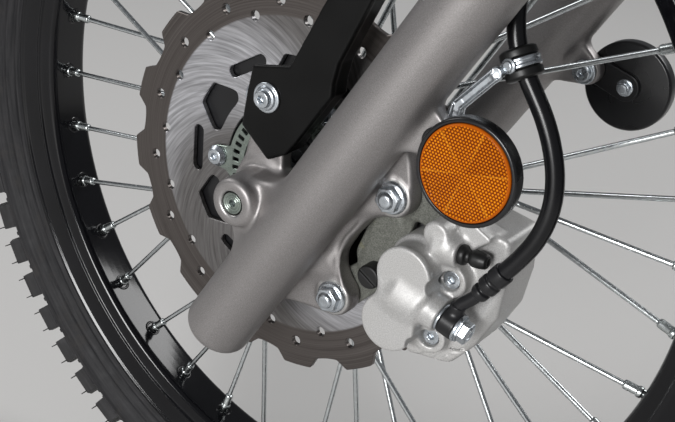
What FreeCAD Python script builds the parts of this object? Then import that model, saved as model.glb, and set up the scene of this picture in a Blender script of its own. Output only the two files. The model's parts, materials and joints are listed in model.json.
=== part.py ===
import FreeCAD, Part
import math
import os

# Front end of a dual sport motorcycle: telescopic fork, spoked 21 inch wheel and disc brake.
# Everything is drawn in the fork frame first: x forward and square to the fork tubes, y to the
# rider's left, z up along the tubes, with the origin on the axle. place() then leans it back.

V = FreeCAD.Vector

# Steering geometry
rake = 27.5                 # degrees that the fork leans back from upright
tube_lead = 35.5            # the axle sits this far ahead of the fork tubes
tube_half_spread = 95.0     # middle of the wheel to the middle of a fork tube
clamp_offset = 28.0         # fork tubes ahead of the steering stem
foot_drop = 97.0            # foot of a slider below the axle
slider_top = 372.0          # upper end of a slider above the axle
lower_clamp_z = 598.0       # underside of the lower clamp above the axle
lower_clamp_height = 36.0
clamp_gap = 150.0           # clear height between the two clamps, where the steering head goes
upper_clamp_height = 26.0
tube_above_clamp = 6.0
stem_radius = 15.0          # seat of the lower steering bearing
bearing_seat_length = 20.0
stem_shank_radius = 13.5
stem_press_radius = 16.0
stem_top_radius = 12.5
stem_nut_height = 12.0
fender_bolt_ring = 64.0
fender_hole_radius = 3.3
handlebar_spread = 104.0
handlebar_lead = 14.0       # middle of the handlebar's posts ahead of the stem
handlebar_boss_radius = 15.0
handlebar_hole_radius = 6.0

# Fork legs
stanchion_radius = 18.5
stanchion_fit = 0.1
slider_radius = 22.0
slider_head_radius = 26.5
slider_head_height = 64.0
slider_flare = 20.0
foot_round = 7.0
slider_bore_floor = 62.0
stanchion_engaged = 300.0   # length of a stanchion inside its slider
seal_height = 13.0

# Axle and its bosses
axle_radius = 7.5
axle_end_radius = 7.0
axle_fit = 0.05
axle_hex_across = 8.0
boss_radius = 17.0
boss_in = tube_half_spread - 29.0   # inner face of both axle bosses, from the middle of the wheel
boss_out_left = tube_half_spread + 17.0
boss_out_right = tube_half_spread + 11.0
boss_collar_radius = 20.5
boss_collar_end = tube_half_spread - 11.0
boss_chamfer = 2.5
neck_in = tube_half_spread - 21.0
neck_out = tube_half_spread + 9.0
axle_end_recess = 2.0
axle_head_radius = 14.0
axle_head_length = 9.0

# Wheel
spoke_count = 36
first_nipple_angle = -22.1  # about the axle, from x towards z
spoke_lead = 60.0           # degrees between a spoke's nipple and its hub hole
spoke_radius = 1.75
nipple_radius = 3.2
nipple_length = 14.0
nipple_sink = 2.5           # a nipple's head lies this far inside the rim's bed
nipple_side = 1.3
rim_flange_radius = 280.7
rim_flange_height = 11.1    # from the tyre's seat to the flange's edge
rim_depth = 28.7            # from the spokes' bed to the flange's edge
rim_half_width = 24.5
rim_bed_half = 15.5
rim_wall = 4.0
tyre_fit = 0.1
tyre_height = 64.3          # from the rim's edge to the top of the tread
tyre_half_width = 36.0
tyre_shoulder_height = 31.3
casing_wall = 6.0
block_count = 68            # blocks of the tread round each shoulder
block_height = 10.5
middle_block_height = 14.0
middle_block_half = 9.5
block_share = 0.32          # half a shoulder block's length, as a share of its pitch
hub_flange_y = 31.0
hub_flange_radius = 38.0
hub_flange_thick = 5.0
hub_hole_radius = 32.0
hub_barrel_radius = 23.0
hub_bore_radius = 16.0
hub_end = 44.0              # ends of the barrel, from the middle of the wheel
hub_spigot_radius = 34.0    # carries the disc
spacer_radius = 11.5
spoke_stand_off_outside = 3.5   # a spoke's axis off the flange's face at its hub end
spoke_stand_off_inside = 1.8
bearing_in = 32.0
bearing_out = 43.0
bearing_gap = 0.5           # between a bearing and its spacer

# Brake disc and tone ring
disc_in = 50.0              # inner face from the middle of the wheel
disc_thick = 4.0
disc_radius = 131.5
notch_depth = 7.1
disc_petals = 16
disc_eye_radius = 50.0
disc_phase = 5.4            # angle of a petal's middle
crest_half = 4.7            # degrees
notch_half = 3.9
hole_radius = 3.2
outer_hole_inset = 17.8     # from the disc's edge to its outer ring of holes
inner_hole_inset = 27.0
inner_hole_phase = 16.6
window_count = 6
disc_bolt_ring = 57.0
disc_bolt_phase = -32.0
disc_bolt_radius = 4.0
ring_thick = 2.0
tone_outer = 47.5
tone_inner = 35.5
tone_slots = 48

# Caliper side
lug_in = boss_in
lug_thick = 13.0
lug_pad_radius = 12.2       # machined seats of the caliper's bolts
lug_pad_height = 0.8
caliper_bolt_up = (-66.0, 67.5)
caliper_bolt_low = (-77.0, -17.0)
lug_radius = 13.0
lug_gap_radius = 30.0
caliper_bolt_radius = 4.0
bracket_in = lug_in - 6.5
bracket_thick = 6.3
bracket_radius = 12.0
piston_up = (-105.0, 49.0)
piston_low = (-116.0, 17.5)
piston_radius = 17.0
pot_wall = 0.9              # the face plate stands this far out from the pots
pot_chamfer = 1.5
shoulder_radius = 19.6
shoulder_top = 80.0
waist_radius = 12.0
caliper_face = 98.0
face_plate_thick = 4.5
caliper_in = 33.0
caliper_out = 71.5
caliper_outline = [(-98, 62), (-99, 80), (-112, 93), (-133, 101), (-148, 78), (-157, 56), (-159, 31),
                   (-156, 10), (-133, -8), (-118, 0), (-103, 12), (-99, 34)]
caliper_web = [(-104, 86), (-112, 96), (-126, 97), (-121, 84)]
edge_slope = 6.0            # sloping edge round the caliper's outer side
groove_count = 3
groove_radius = 2.6
groove_foot = (-150.0, -5.0)
groove_step = 5.5
slot_side_gap = 6.5         # air between the disc and the caliper's halves
slot_edge_gap = 6.0         # air between the disc's edge and the bridge
pad_gap = 0.5
pad_thick = 5.0
pad_inset = 1.5             # the pads' outer edge inside the disc's edge
pad_height = 28.0
pad_pin_up = (-124.0, 59.0)
pad_pin_low = (-137.6, 20.3)
pad_pin_radius = 3.5
pin_head_radius = 5.5
pin_head_height = 4.6
pin_seat = 74.0             # bottom of the round recesses for the pins' heads
pin_boss_radius = 10.2
pin_boss_top = 80.3
slide_pin_up = (-101.0, 76.5)
slide_pin_low = (-85.6, 12.4)
slide_pin_radius = 4.0
slide_boss_radius = 8.4
slide_boss_top = 86.0
pin_cap_radius = 7.6
pin_cap_height = 11.0
pin_fit = 0.1

# Hose and its fittings; its route runs from the caliper to the upper fitting
hose_radius = 5.25
grommet_place = (-72.0, 74.6, 184.1)
clip_place = (-11.0, 57.5, 603.0)
hose_route = [(-143.2, 85.0, 94.5), (-144.6, 83.7, 112.0), (-142.0, 82.0, 129.0), (-136.0, 80.5, 143.0),
              (-126.5, 79.0, 155.0), (-114.5, 78.0, 165.0), (-101.0, 77.0, 173.0), (-87.0, 76.0, 178.6),
              grommet_place, (-58.6, 72.4, 192.8), (-47.7, 69.3, 204.5), (-39.9, 66.6, 218.5),
              (-35.5, 64.6, 234.9), (-34.8, 63.0, 255.0), (-35.6, 61.5, 288.0), (-35.2, 60.4, 332.0),
              (-33.0, 58.5, 385.0), (-27.5, 57.0, 440.0), (-20.5, 56.5, 495.0), (-14.5, 57.0, 550.0),
              clip_place, (-11.5, 56.5, 655.0), (-14.0, 54.0, 706.0), (-16.5, 51.0, 756.0),
              (-17.0, 48.5, 800.0)]
hose_bend_share = 0.45
banjo_seat = (-135.4, 88.0, 43.7)
banjo_way = (-0.96, 0.0, 0.28)
banjo_bolt_radius = 5.0
banjo_eye_thick = 10.0
eye_radius = 8.5
pipe_radius = 3.5
washer_thick = 1.5
washer_radius = 8.2
port_radius = 10.6
neck_length = 27.0          # from the pipe's bend to the hose
ferrule_radius = 6.2
bleed_seat = (-121.5, 79.5, 79.5)
bleed_boss_radius = 8.6
grommet_radius = 10.0
grommet_length = 13.0
clip_fit = 0.7
clip_wall = 2.0
clip_height = 14.0
clip_reach = 22.0

# Reflectors, same on both sides
reflector_place = (-95.5, 136.0)
reflector_back = tube_half_spread + 8.0
reflector_radius = 30.0
reflector_depth = 8.0
lens_radius = 27.0
lens_proud = 2.5
stud_radius = 2.5
lug_bolt_place = (-70.8, 129.5)
lug_bolt_radius = 3.0
side_lug_in = tube_half_spread - 5.0
side_lug_out = tube_half_spread + 5.0
side_lug_radius = 9.5
arm_thick = 2.5

# Sensor guard
guard_y = tube_half_spread - 11.0
guard_thick = 4.0
guard_bolt = (29.5, 56.0)
guard_bolt_top = (4.0, 203.0)
guard_bolt_radius = 3.1
guard_ear_radius = 9.0
guard_ear_thick = 10.0
guard_top = 214.0
guard_fold_depth = 13.0     # the folded rear edge reaches this far in
guard_outline = [(6.5, 24.0), (33.5, 27.5), (42.5, 47.3), (49.0, 64.0), (29.0, 83.0), (33.7, 131.7),
                 (30.0, 176.0), (12.0, guard_top), (-6.0, guard_top), (-8.0, 180.0), (11.5, 153.0),
                 (5.8, 108.0), (1.3, 96.0), (-2.7, 89.4), (-1.4, 46.0), (-0.5, 36.0)]
guard_fold = [(-0.5, 36.0), (2.0, 36.0), (2.6, 46.0), (1.5, 88.0), (5.5, 96.0), (9.6, 107.0), (15.2, 152.0),
              (11.5, 153.0), (5.8, 108.0), (1.3, 96.0), (-2.7, 89.4), (-1.4, 46.0)]

deg = math.radians
stem_x = -tube_lead - clamp_offset
origin_z = lower_clamp_z + lower_clamp_height
upper_clamp_z = origin_z + clamp_gap
tube_top = upper_clamp_z + upper_clamp_height + tube_above_clamp
disc_out = disc_in + disc_thick
rim_bed_radius = rim_flange_radius - rim_depth
tyre_radius = rim_flange_radius + tyre_height
tyre_shoulder_radius = rim_flange_radius + tyre_shoulder_height
nipple_seat_radius = rim_bed_radius + nipple_sink
bead_radius = rim_flange_radius - rim_flange_height
disc_notch_radius = disc_radius - notch_depth
outer_hole_ring = disc_radius - outer_hole_inset
inner_hole_ring = disc_radius - inner_hole_inset
slot_in = disc_in - slot_side_gap
slot_out = disc_out + slot_side_gap
slot_radius = disc_radius + slot_edge_gap


def place(shape):
    """From the fork frame to the part's own frame: origin on the stem, leaning back by the rake."""
    moved = shape.copy()
    moved.translate(V(-stem_x, 0, -origin_z))
    moved.rotate(V(0, 0, 0), V(0, 1, 0), -rake)
    return moved


def save(name, shape):
    place(shape).exportStep("parts/%s.step" % name)


def rod(radius, start, end):
    start, end = V(*start), V(*end)
    return Part.makeCylinder(radius, (end - start).Length, start, end - start)


def cross_rod(radius, at, y0, y1):
    """A cylinder across the wheel at (x, z), from y0 to y1."""
    return rod(radius, (at[0], y0, at[1]), (at[0], y1, at[1]))


def fuse(shapes):
    whole = shapes[0]
    if len(shapes) > 1:
        whole = shapes[0].multiFuse(shapes[1:])
    return whole.removeSplitter()


def polar(radius, angle):
    return (radius * math.cos(deg(angle)), radius * math.sin(deg(angle)))


def side_face(points):
    """A face in the plane y = 0 from points (x, z); a point given as (x, z, 'via') bends an arc."""
    edges = []
    at = V(points[0][0], 0, points[0][1])
    bend = None
    for point in list(points[1:]) + [points[0]]:
        here = V(point[0], 0, point[1])
        if len(point) == 3 and point is not points[0]:
            bend = here
            continue
        if bend is not None:
            edges.append(Part.Arc(at, bend, here).toShape())
            bend = None
        elif (here - at).Length > 1e-6:
            edges.append(Part.makeLine(at, here))
        at = here
    return Part.Face(Part.Wire(edges))


def side_plate(points, y0, y1):
    face = side_face(points)
    face.translate(V(0, y0, 0))
    return face.extrude(V(0, y1 - y0, 0))


def flat_plate(points, z0, z1):
    """A plate square to the tubes from points (x, y)."""
    wire = Part.makePolygon([V(x, y, z0) for x, y in points] + [V(points[0][0], points[0][1], z0)])
    return Part.Face(wire).extrude(V(0, 0, z1 - z0))


def belt(a, ra, b, rb):
    """Corner points of the quadrilateral that is tangent to two circles (2-D)."""
    dx, dz = b[0] - a[0], b[1] - a[1]
    gap = math.hypot(dx, dz)
    along = math.atan2(dz, dx)
    swing = math.acos((ra - rb) / gap)
    out = []
    for turn, centre, radius in ((swing, a, ra), (swing, b, rb), (-swing, b, rb), (-swing, a, ra)):
        angle = along + turn
        out.append((centre[0] + radius * math.cos(angle), centre[1] + radius * math.sin(angle)))
    return out


def arm(a, ra, b, rb, y0, y1):
    """A side plate with two round ends."""
    return fuse([cross_rod(ra, a, y0, y1), cross_rod(rb, b, y0, y1), side_plate(belt(a, ra, b, rb), y0, y1)])


def turned(profile, centre=(0, 0, 0), axis=(0, 0, 1)):
    """Revolve points (radius, height) about an axis through centre; height runs along the axis."""
    wire = Part.makePolygon([V(r, 0, h) for r, h in profile] + [V(profile[0][0], 0, profile[0][1])])
    solid = Part.Face(wire).revolve(V(0, 0, 0), V(0, 0, 1), 360)
    turn = FreeCAD.Rotation(V(0, 0, 1), V(*axis))
    solid.Placement = FreeCAD.Placement(V(*centre), turn)
    return solid


def about_axle(profile):
    """Revolve points (radius, y) about the axle."""
    wire = Part.makePolygon([V(r, y, 0) for r, y in profile] + [V(profile[0][0], profile[0][1], 0)])
    return Part.Face(wire).revolve(V(0, 0, 0), V(0, 1, 0), 360)


def hex_prism(across, at, y0, y1, turn=0.0):
    corner = across / math.sqrt(3)
    points = []
    for k in range(6):
        x, z = polar(corner, turn + 60 * k)
        points.append((at[0] + x, at[1] + z))
    return side_plate(points, y0, y1)


def spun(shape, angle):
    """A copy turned about the axle, from x towards z."""
    copy = shape.copy()
    copy.rotate(V(0, 0, 0), V(0, 1, 0), -angle)
    return copy


def mirrored(shape):
    return shape.mirror(V(0, 0, 0), V(0, 1, 0))


# Fork legs

def slider_blank():
    """One leg's outer tube: rounded foot, plain barrel, thicker head round the upper bush."""
    head_z = slider_top - slider_head_height
    foot = -foot_drop
    edge = foot_round * (1 - math.sqrt(0.5))
    points = [V(0, 0, foot), V(slider_radius - foot_round, 0, foot)]
    wall = V(slider_radius, 0, foot + foot_round)
    bend = Part.Arc(points[1], V(slider_radius - edge, 0, foot + edge), wall)
    rest = [wall, V(slider_radius, 0, head_z - slider_flare),
            V(slider_head_radius, 0, head_z), V(slider_head_radius, 0, slider_top), V(0, 0, slider_top)]
    edges = [Part.makeLine(*points), bend.toShape()]
    edges += [Part.makeLine(a, b) for a, b in zip(rest, rest[1:])]
    edges.append(Part.makeLine(rest[-1], points[0]))
    solid = Part.Face(Part.Wire(edges)).revolve(V(0, 0, 0), V(0, 0, 1), 360)
    solid.translate(V(-tube_lead, tube_half_spread, 0))
    return solid


def slider_bore():
    return rod(stanchion_radius + stanchion_fit, (-tube_lead, tube_half_spread, slider_bore_floor),
               (-tube_lead, tube_half_spread, slider_top + 1))


def axle_boss(out):
    boss = cross_rod(boss_radius, (0, 0), boss_in, out - boss_chamfer)
    foot = V(0, out - boss_chamfer, 0)
    nose = Part.makeCone(boss_radius, boss_radius - boss_chamfer, boss_chamfer, foot, V(0, 1, 0))
    collar = cross_rod(boss_collar_radius, (0, 0), boss_in + 4, boss_collar_end)
    neck = side_plate([(2, boss_radius - 0.5), (-tube_lead, 44), (-tube_lead, -40), (2, -boss_radius + 0.5)],
                      neck_in, neck_out)
    return [boss, nose, collar, neck]


def side_lug():
    """The small ear behind each leg that carries the reflector."""
    root = (-tube_lead - 8, lug_bolt_place[1] - 6)
    return arm(lug_bolt_place, side_lug_radius, root, 22.0, side_lug_in, side_lug_out)


def caliper_lugs():
    """Two ears behind the left leg that the caliper's bracket is bolted to, round an open throat."""
    y0, y1 = lug_in, lug_in + lug_thick - lug_pad_height
    up_root, low_root = (-tube_lead - 4, 72), (-tube_lead - 4, -22)
    upper = arm(caliper_bolt_up, lug_radius, up_root, 30.0, y0, y1)
    lower = arm(caliper_bolt_low, lug_radius, low_root, 30.0, y0, y1)
    back = -tube_lead - 26
    web = side_plate([(-tube_lead, 80), (back, 60), (back, -8), (-tube_lead, -30)], y0, y1)
    gap = cross_rod(lug_gap_radius, (-91.5, 22.5), y0 - 1, y1 + 1)
    pads = [cross_rod(lug_pad_radius, at, y0, lug_in + lug_thick)
            for at in (caliper_bolt_up, caliper_bolt_low)]
    return fuse([fuse([upper, lower, web]).cut(gap)] + pads)


def guard_ears():
    """Two cast arms ahead of the left leg that the sensor guard is bolted to."""
    lower = arm((0, 0), boss_radius, guard_bolt, guard_ear_radius, guard_y - guard_ear_thick, guard_y)
    root = (-tube_lead + 8, guard_bolt_top[1] - 4)
    upper = arm(root, 14.0, guard_bolt_top, guard_ear_radius, guard_y - guard_ear_thick, guard_y)
    return [lower, upper]


def left_slider():
    body = fuse([slider_blank(), side_lug(), caliper_lugs()] + axle_boss(boss_out_left) + guard_ears())
    holes = [slider_bore(), cross_rod(axle_end_radius + axle_fit, (0, 0), boss_in - 1, boss_out_left + 1)]
    for at in (guard_bolt, guard_bolt_top):
        holes.append(cross_rod(guard_bolt_radius + axle_fit, at, guard_y - guard_ear_thick - 1, guard_y + 1))
    for at in (caliper_bolt_up, caliper_bolt_low):
        holes.append(cross_rod(caliper_bolt_radius + axle_fit, at, lug_in - 1, lug_in + lug_thick + 1))
    holes.append(cross_rod(lug_bolt_radius + axle_fit, lug_bolt_place, side_lug_in - 1, side_lug_out + 1))
    return body.cut(holes[0].multiFuse(holes[1:]))


def right_slider():
    body = fuse([slider_blank(), side_lug()] + axle_boss(boss_out_right))
    slit = side_plate([(-1, 0), (-1, -boss_collar_radius - 2), (1, -boss_collar_radius - 2), (1, 0)],
                      boss_in - 1, neck_in - 0.5)
    holes = [slider_bore(), cross_rod(axle_radius + axle_fit, (0, 0), boss_in - 1, boss_out_right + 1), slit,
             cross_rod(lug_bolt_radius + axle_fit, lug_bolt_place, side_lug_in - 1, side_lug_out + 1)]
    return mirrored(body.cut(holes[0].multiFuse(holes[1:])))


def stanchion():
    return rod(stanchion_radius, (-tube_lead, tube_half_spread, slider_top - stanchion_engaged),
               (-tube_lead, tube_half_spread, tube_top))


def dust_seal():
    inner, outer = stanchion_radius + stanchion_fit, slider_head_radius
    profile = [(inner, 0), (outer - 1, 0), (outer - 1, seal_height * 0.45), (outer - 4, seal_height * 0.7),
               (inner + 2.5, seal_height), (inner, seal_height)]
    return turned(profile, (-tube_lead, tube_half_spread, slider_top))


def top_cap():
    base = rod(stanchion_radius - 0.8, (-tube_lead, tube_half_spread, tube_top),
               (-tube_lead, tube_half_spread, tube_top + 4))
    corner = 22.0 / math.sqrt(3)
    points = [(-tube_lead + corner * math.cos(deg(60 * k)), tube_half_spread + corner * math.sin(deg(60 * k)))
              for k in range(6)]
    return fuse([base, flat_plate(points, tube_top + 4, tube_top + 11)])


# Clamps and stem

def clamp_body(z0, height, ring_radius, stem_boss):
    """A bridge of two split rings round the tubes and a boss round the stem."""
    left, right, stem = (-tube_lead, tube_half_spread), (-tube_lead, -tube_half_spread), (stem_x, 0.0)
    pieces = []
    for end in (left, right):
        pieces.append(rod(ring_radius, (end[0], end[1], z0), (end[0], end[1], z0 + height)))
        corners = belt(end, ring_radius - 6, stem, stem_boss - 3)
        pieces.append(flat_plate(corners, z0 + 2, z0 + height - 4))
    pieces.append(rod(stem_boss, (stem[0], stem[1], z0), (stem[0], stem[1], z0 + height)))
    for end in (left, right):
        ear = Part.makeBox(13, 22, height - 6, V(end[0] + ring_radius - 5, end[1] - 11, z0 + 3))
        pieces.append(ear)
    body = fuse(pieces)
    holes = []
    for end in (left, right):
        foot, head = (end[0], end[1], z0 - 1), (end[0], end[1], z0 + height + 1)
        holes.append(rod(stanchion_radius + stanchion_fit, foot, head))
        holes.append(Part.makeBox(ring_radius + 20, 2, height + 2, V(end[0], end[1] - 1, z0 - 1)))
    return body.cut(holes[0].multiFuse(holes[1:]))


def lower_clamp():
    body = clamp_body(lower_clamp_z, lower_clamp_height, 27.5, 27.0)
    holes = [rod(stem_press_radius + axle_fit, (stem_x, 0, lower_clamp_z - 1), (stem_x, 0, origin_z + 1))]
    shelf = flat_plate([(stem_x - 8, -40), (stem_x + 52, -30), (stem_x + 52, 30), (stem_x - 8, 40)],
                       lower_clamp_z, lower_clamp_z + 14)
    body = fuse([body, shelf])
    for k in range(4):
        x, y = polar(fender_bolt_ring / 2, 45 + 90 * k)
        spot = (stem_x + 22 + x, y)
        holes.append(rod(fender_hole_radius, (*spot, lower_clamp_z - 1), (*spot, origin_z + 1)))
    return body.cut(holes[0].multiFuse(holes[1:]))


def upper_clamp():
    body = clamp_body(upper_clamp_z, upper_clamp_height, 26.0, 24.0)
    x, z0, z1 = stem_x + handlebar_lead, upper_clamp_z, upper_clamp_z + upper_clamp_height
    sides = (-handlebar_spread / 2, handlebar_spread / 2)
    body = fuse([body] + [rod(handlebar_boss_radius, (x, y, z0 + 2), (x, y, z1)) for y in sides])
    holes = [rod(stem_top_radius + axle_fit, (stem_x, 0, z0 - 1), (stem_x, 0, z1 + 1))]
    for y in sides:
        holes.append(rod(handlebar_hole_radius, (x, y, z0 - 1), (x, y, z1 + 1)))
    return body.cut(holes[0].multiFuse(holes[1:]))


def steering_stem():
    """Pressed into the lower clamp, then the lower bearing's seat, a thinner shank and the top."""
    press = rod(stem_press_radius, (stem_x, 0, lower_clamp_z), (stem_x, 0, origin_z))
    seat = rod(stem_radius, (stem_x, 0, origin_z), (stem_x, 0, origin_z + bearing_seat_length))
    shank = rod(stem_shank_radius, (stem_x, 0, origin_z), (stem_x, 0, upper_clamp_z))
    top = upper_clamp_z + upper_clamp_height + stem_nut_height
    upper = rod(stem_top_radius, (stem_x, 0, upper_clamp_z), (stem_x, 0, top))
    return fuse([press, seat, shank, upper])


def stem_nut():
    z0 = upper_clamp_z + upper_clamp_height
    washer = rod(18.0, (stem_x, 0, z0), (stem_x, 0, z0 + 3))
    corner = 30.0 / math.sqrt(3)
    points = [(stem_x + corner * math.cos(deg(60 * k)), corner * math.sin(deg(60 * k))) for k in range(6)]
    nut = flat_plate(points, z0 + 3, z0 + stem_nut_height)
    bore = rod(stem_top_radius + axle_fit, (stem_x, 0, z0 - 1), (stem_x, 0, z0 + stem_nut_height + 1))
    return fuse([washer, nut]).cut(bore)


# Wheel

def sewn(faces):
    """A solid from faces that meet edge to edge."""
    shell = Part.makeShell(faces)
    shell.sewShape()
    solid = Part.Solid(shell)
    if solid.Volume < 0:
        solid.reverse()
    return solid


def flat_sided(rings):
    """A solid between two or more rings of points, all with the same number of corners."""
    shapes = [Part.Face(Part.makePolygon(ring + [ring[0]])) for ring in (rings[0], rings[-1])]
    for low, high in zip(rings, rings[1:]):
        for k in range(len(low)):
            n = (k + 1) % len(low)
            shapes.append(Part.Face(Part.makePolygon([low[k], low[n], high[n], high[k], low[k]])))
    return sewn(shapes)


def around(radius, y, angle):
    x, z = polar(radius, angle)
    return V(x, y, z)


def tread_block(low, high, height, start, end):
    """A block over the casing between two (radius, y) points, from one angle to another."""
    run = V(high[0] - low[0], high[1] - low[1], 0).normalize()
    out = V(abs(run.y), run.x if run.y < 0 else -run.x, 0)
    corners = []
    for lift in (-1.0, height):
        foot, head = V(low[0], low[1], 0) + out * lift, V(high[0], high[1], 0) + out * lift
        corners.append([around(spot.x, spot.y, angle)
                        for spot, angle in ((foot, start), (foot, end), (head, end), (head, start))])
    return flat_sided(corners)


def casing_outline(swell):
    """Left half of the casing's section from bead to crown; swell lets a ring of flats clear the seat."""
    seat, crown = bead_radius + tyre_fit, tyre_radius - middle_block_height
    return [((seat - 1) * swell, rim_bed_half), (seat * swell, rim_half_width - 5.5),
            (rim_flange_radius + 1, rim_half_width - 2.8), (tyre_shoulder_radius - 12, tyre_half_width),
            (tyre_shoulder_radius - 3, tyre_half_width - 3), (crown - 14, tyre_half_width - 11.5),
            (crown, middle_block_half + 1.5)]


def tyre():
    """One pitch of casing and tread with flat faces, repeated all round and sewn together."""
    pitch = 360.0 / block_count
    outer = casing_outline(1 / math.cos(deg(pitch / 2)))
    crown = tyre_radius - middle_block_height
    inner = [(crown - casing_wall, middle_block_half + 2), (tyre_shoulder_radius - 12, tyre_half_width - 8)]
    section = outer + [(r, -y) for r, y in reversed(outer)] + [(r, -y) for r, y in reversed(inner)] + inner
    piece = flat_sided([[around(r, y, angle) for r, y in section] for angle in (0.0, pitch)])
    shoulder, edge = V(*outer[-2], 0), V(*outer[-1], 0)
    low, high = shoulder + (edge - shoulder) * 0.03, shoulder + (edge - shoulder) * 0.93
    start, end = pitch * (0.5 - block_share), pitch * (0.5 + block_share)
    for side in (-1, 1):
        block = tread_block((low.x, side * low.y), (high.x, side * high.y), block_height, start, end)
        piece = piece.fuse(block)
    middle = tread_block((crown, -middle_block_half), (crown, middle_block_half), middle_block_height,
                         start + 0.3, end - 0.3)
    piece = piece.fuse(middle).removeSplitter()
    skin = []
    for face in piece.Faces:
        angles = [math.degrees(math.atan2(v.Z, v.X)) for v in face.Vertexes]
        if max(angles) > 0.01 and min(angles) < pitch - 0.01:
            skin.append(face)
    return sewn([spun(face, k * pitch) for k in range(block_count) for face in skin])


def rim_outline():
    """Bed, sloping wall, flange with a rolled edge and the tyre's seat, on both sides."""
    bed, lip, side, bead = rim_bed_radius, rim_flange_radius, rim_half_width, bead_radius
    half = [(bed, rim_bed_half), (bed + rim_wall, side - 6.5), (lip - 3.5, side - 1.5), (lip - 1, side),
            (lip, side - 1), (lip, side - 2.3), (bead, side - 5), (bead - 1, rim_bed_half),
            (bed + rim_wall, rim_bed_half - 5)]
    return half + [(r, -y) for r, y in reversed(half)]


def spoke_lines():
    """Each spoke as (nipple seat, hub end). A spoke laid outside its flange rests on the flange's edge."""
    lines = []
    for k in range(spoke_count):
        angle = first_nipple_angle - k * 360.0 / spoke_count
        side = 1 if k % 2 else -1
        outside = k % 4 in (0, 1)
        lead = spoke_lead if outside else -spoke_lead
        nx, nz = polar(nipple_seat_radius, angle)
        hx, hz = polar(hub_hole_radius, angle + lead)
        half = hub_flange_thick / 2
        reach = half + spoke_stand_off_outside if outside else -half - spoke_stand_off_inside
        lines.append((V(nx, side * nipple_side, nz), V(hx, side * (hub_flange_y + reach), hz)))
    return lines


def rim():
    return about_axle(rim_outline())


def nipples():
    """Each nipple ends on the rim's bed."""
    out = []
    well = cross_rod(rim_bed_radius - 0.02, (0, 0), -rim_half_width, rim_half_width)
    for seat, hub in spoke_lines():
        way = (hub - seat).normalize()
        out.append(Part.makeCylinder(nipple_radius, nipple_length + 3, seat, way))
    return Part.makeCompound(out).common(well)


def spokes():
    out = []
    for seat, hub in spoke_lines():
        way = (hub - seat).normalize()
        start = seat + way * (nipple_length + 3)
        out.append(Part.makeCylinder(spoke_radius, (hub - start).Length, start, way))
    return Part.makeCompound(out)


def hub():
    flange = hub_flange_thick / 2
    root = hub_hole_radius - 4.5
    low, high = hub_flange_y - flange, hub_flange_y + flange
    barrel, edge, spigot = hub_barrel_radius, hub_flange_radius, disc_out - 0.2
    line = [(hub_bore_radius, -hub_end), (barrel + 1, -hub_end), (barrel + 1, -high), (edge, -high),
            (edge, -low), (root, -low), (barrel, 9 - hub_flange_y), (barrel - 2, 0),
            (barrel, hub_flange_y - 9), (root, low), (edge, low), (edge, high), (root, high),
            (root, hub_end - 3), (hub_spigot_radius, hub_end), (hub_spigot_radius, spigot),
            (hub_bore_radius, spigot)]
    pieces = [about_axle(line)]
    holes = []
    for k in range(window_count):
        turn = disc_bolt_phase + 60 * k
        at = polar(disc_bolt_ring, turn)
        pieces.append(arm(polar(root, turn), 11, at, 8.5, hub_end - 2, disc_in))
        holes.append(cross_rod(disc_bolt_radius + axle_fit, at, hub_end - 3, disc_in + 1))
    body = fuse(pieces)
    return body.cut(holes[0].multiFuse(holes[1:]))


def petal_outline():
    points = []
    step = 360.0 / disc_petals
    for k in range(disc_petals):
        mid = disc_phase + k * step
        points.append(polar(disc_radius, mid - crest_half))
        points.append(polar(disc_radius, mid) + ("via",))
        points.append(polar(disc_radius, mid + crest_half))
        low = mid + step / 2
        points.append(polar(disc_notch_radius, low - notch_half))
        points.append(polar(disc_notch_radius - 1.0, low) + ("via",))
        points.append(polar(disc_notch_radius, low + notch_half))
    return points


def disc_window():
    """The shield-shaped window between two disc bolts, at angle 0."""
    points = [polar(80.5, -6.5), polar(80.5, 0) + ("via",), polar(80.5, 6.5), polar(68.0, 14.0),
              polar(64.5, 15.5) + ("via",), polar(60.0, 13.5), polar(60.0, 0) + ("via",), polar(60.0, -13.5),
              polar(64.5, -15.5) + ("via",), polar(68.0, -14.0)]
    return side_plate(points, disc_in - 1, disc_out + 1)


def disc_slot():
    """The round-ended slot outside a disc bolt, at angle 0."""
    ends = [polar(76.5, -9.0), polar(76.5, 9.0)]
    return arm(ends[0], 4.0, ends[1], 4.0, disc_in - 1, disc_out + 1)


def brake_disc():
    body = side_plate(petal_outline(), disc_in, disc_out)
    through = (disc_in - 1, disc_out + 1)
    cuts = [cross_rod(disc_eye_radius, (0, 0), *through)]
    step = 360.0 / disc_petals
    for k in range(disc_petals):
        cuts.append(cross_rod(hole_radius, polar(outer_hole_ring, disc_phase + k * step), *through))
        cuts.append(cross_rod(hole_radius, polar(inner_hole_ring, inner_hole_phase + k * step), *through))
    for k in range(window_count):
        turn = disc_bolt_phase + 60 * k
        cuts.append(spun(disc_slot(), turn))
        cuts.append(spun(disc_window(), turn + 30))
        cuts.append(cross_rod(disc_bolt_radius + axle_fit, polar(disc_bolt_ring, turn), *through))
    return body.cut(cuts[0].multiFuse(cuts[1:]))


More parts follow.
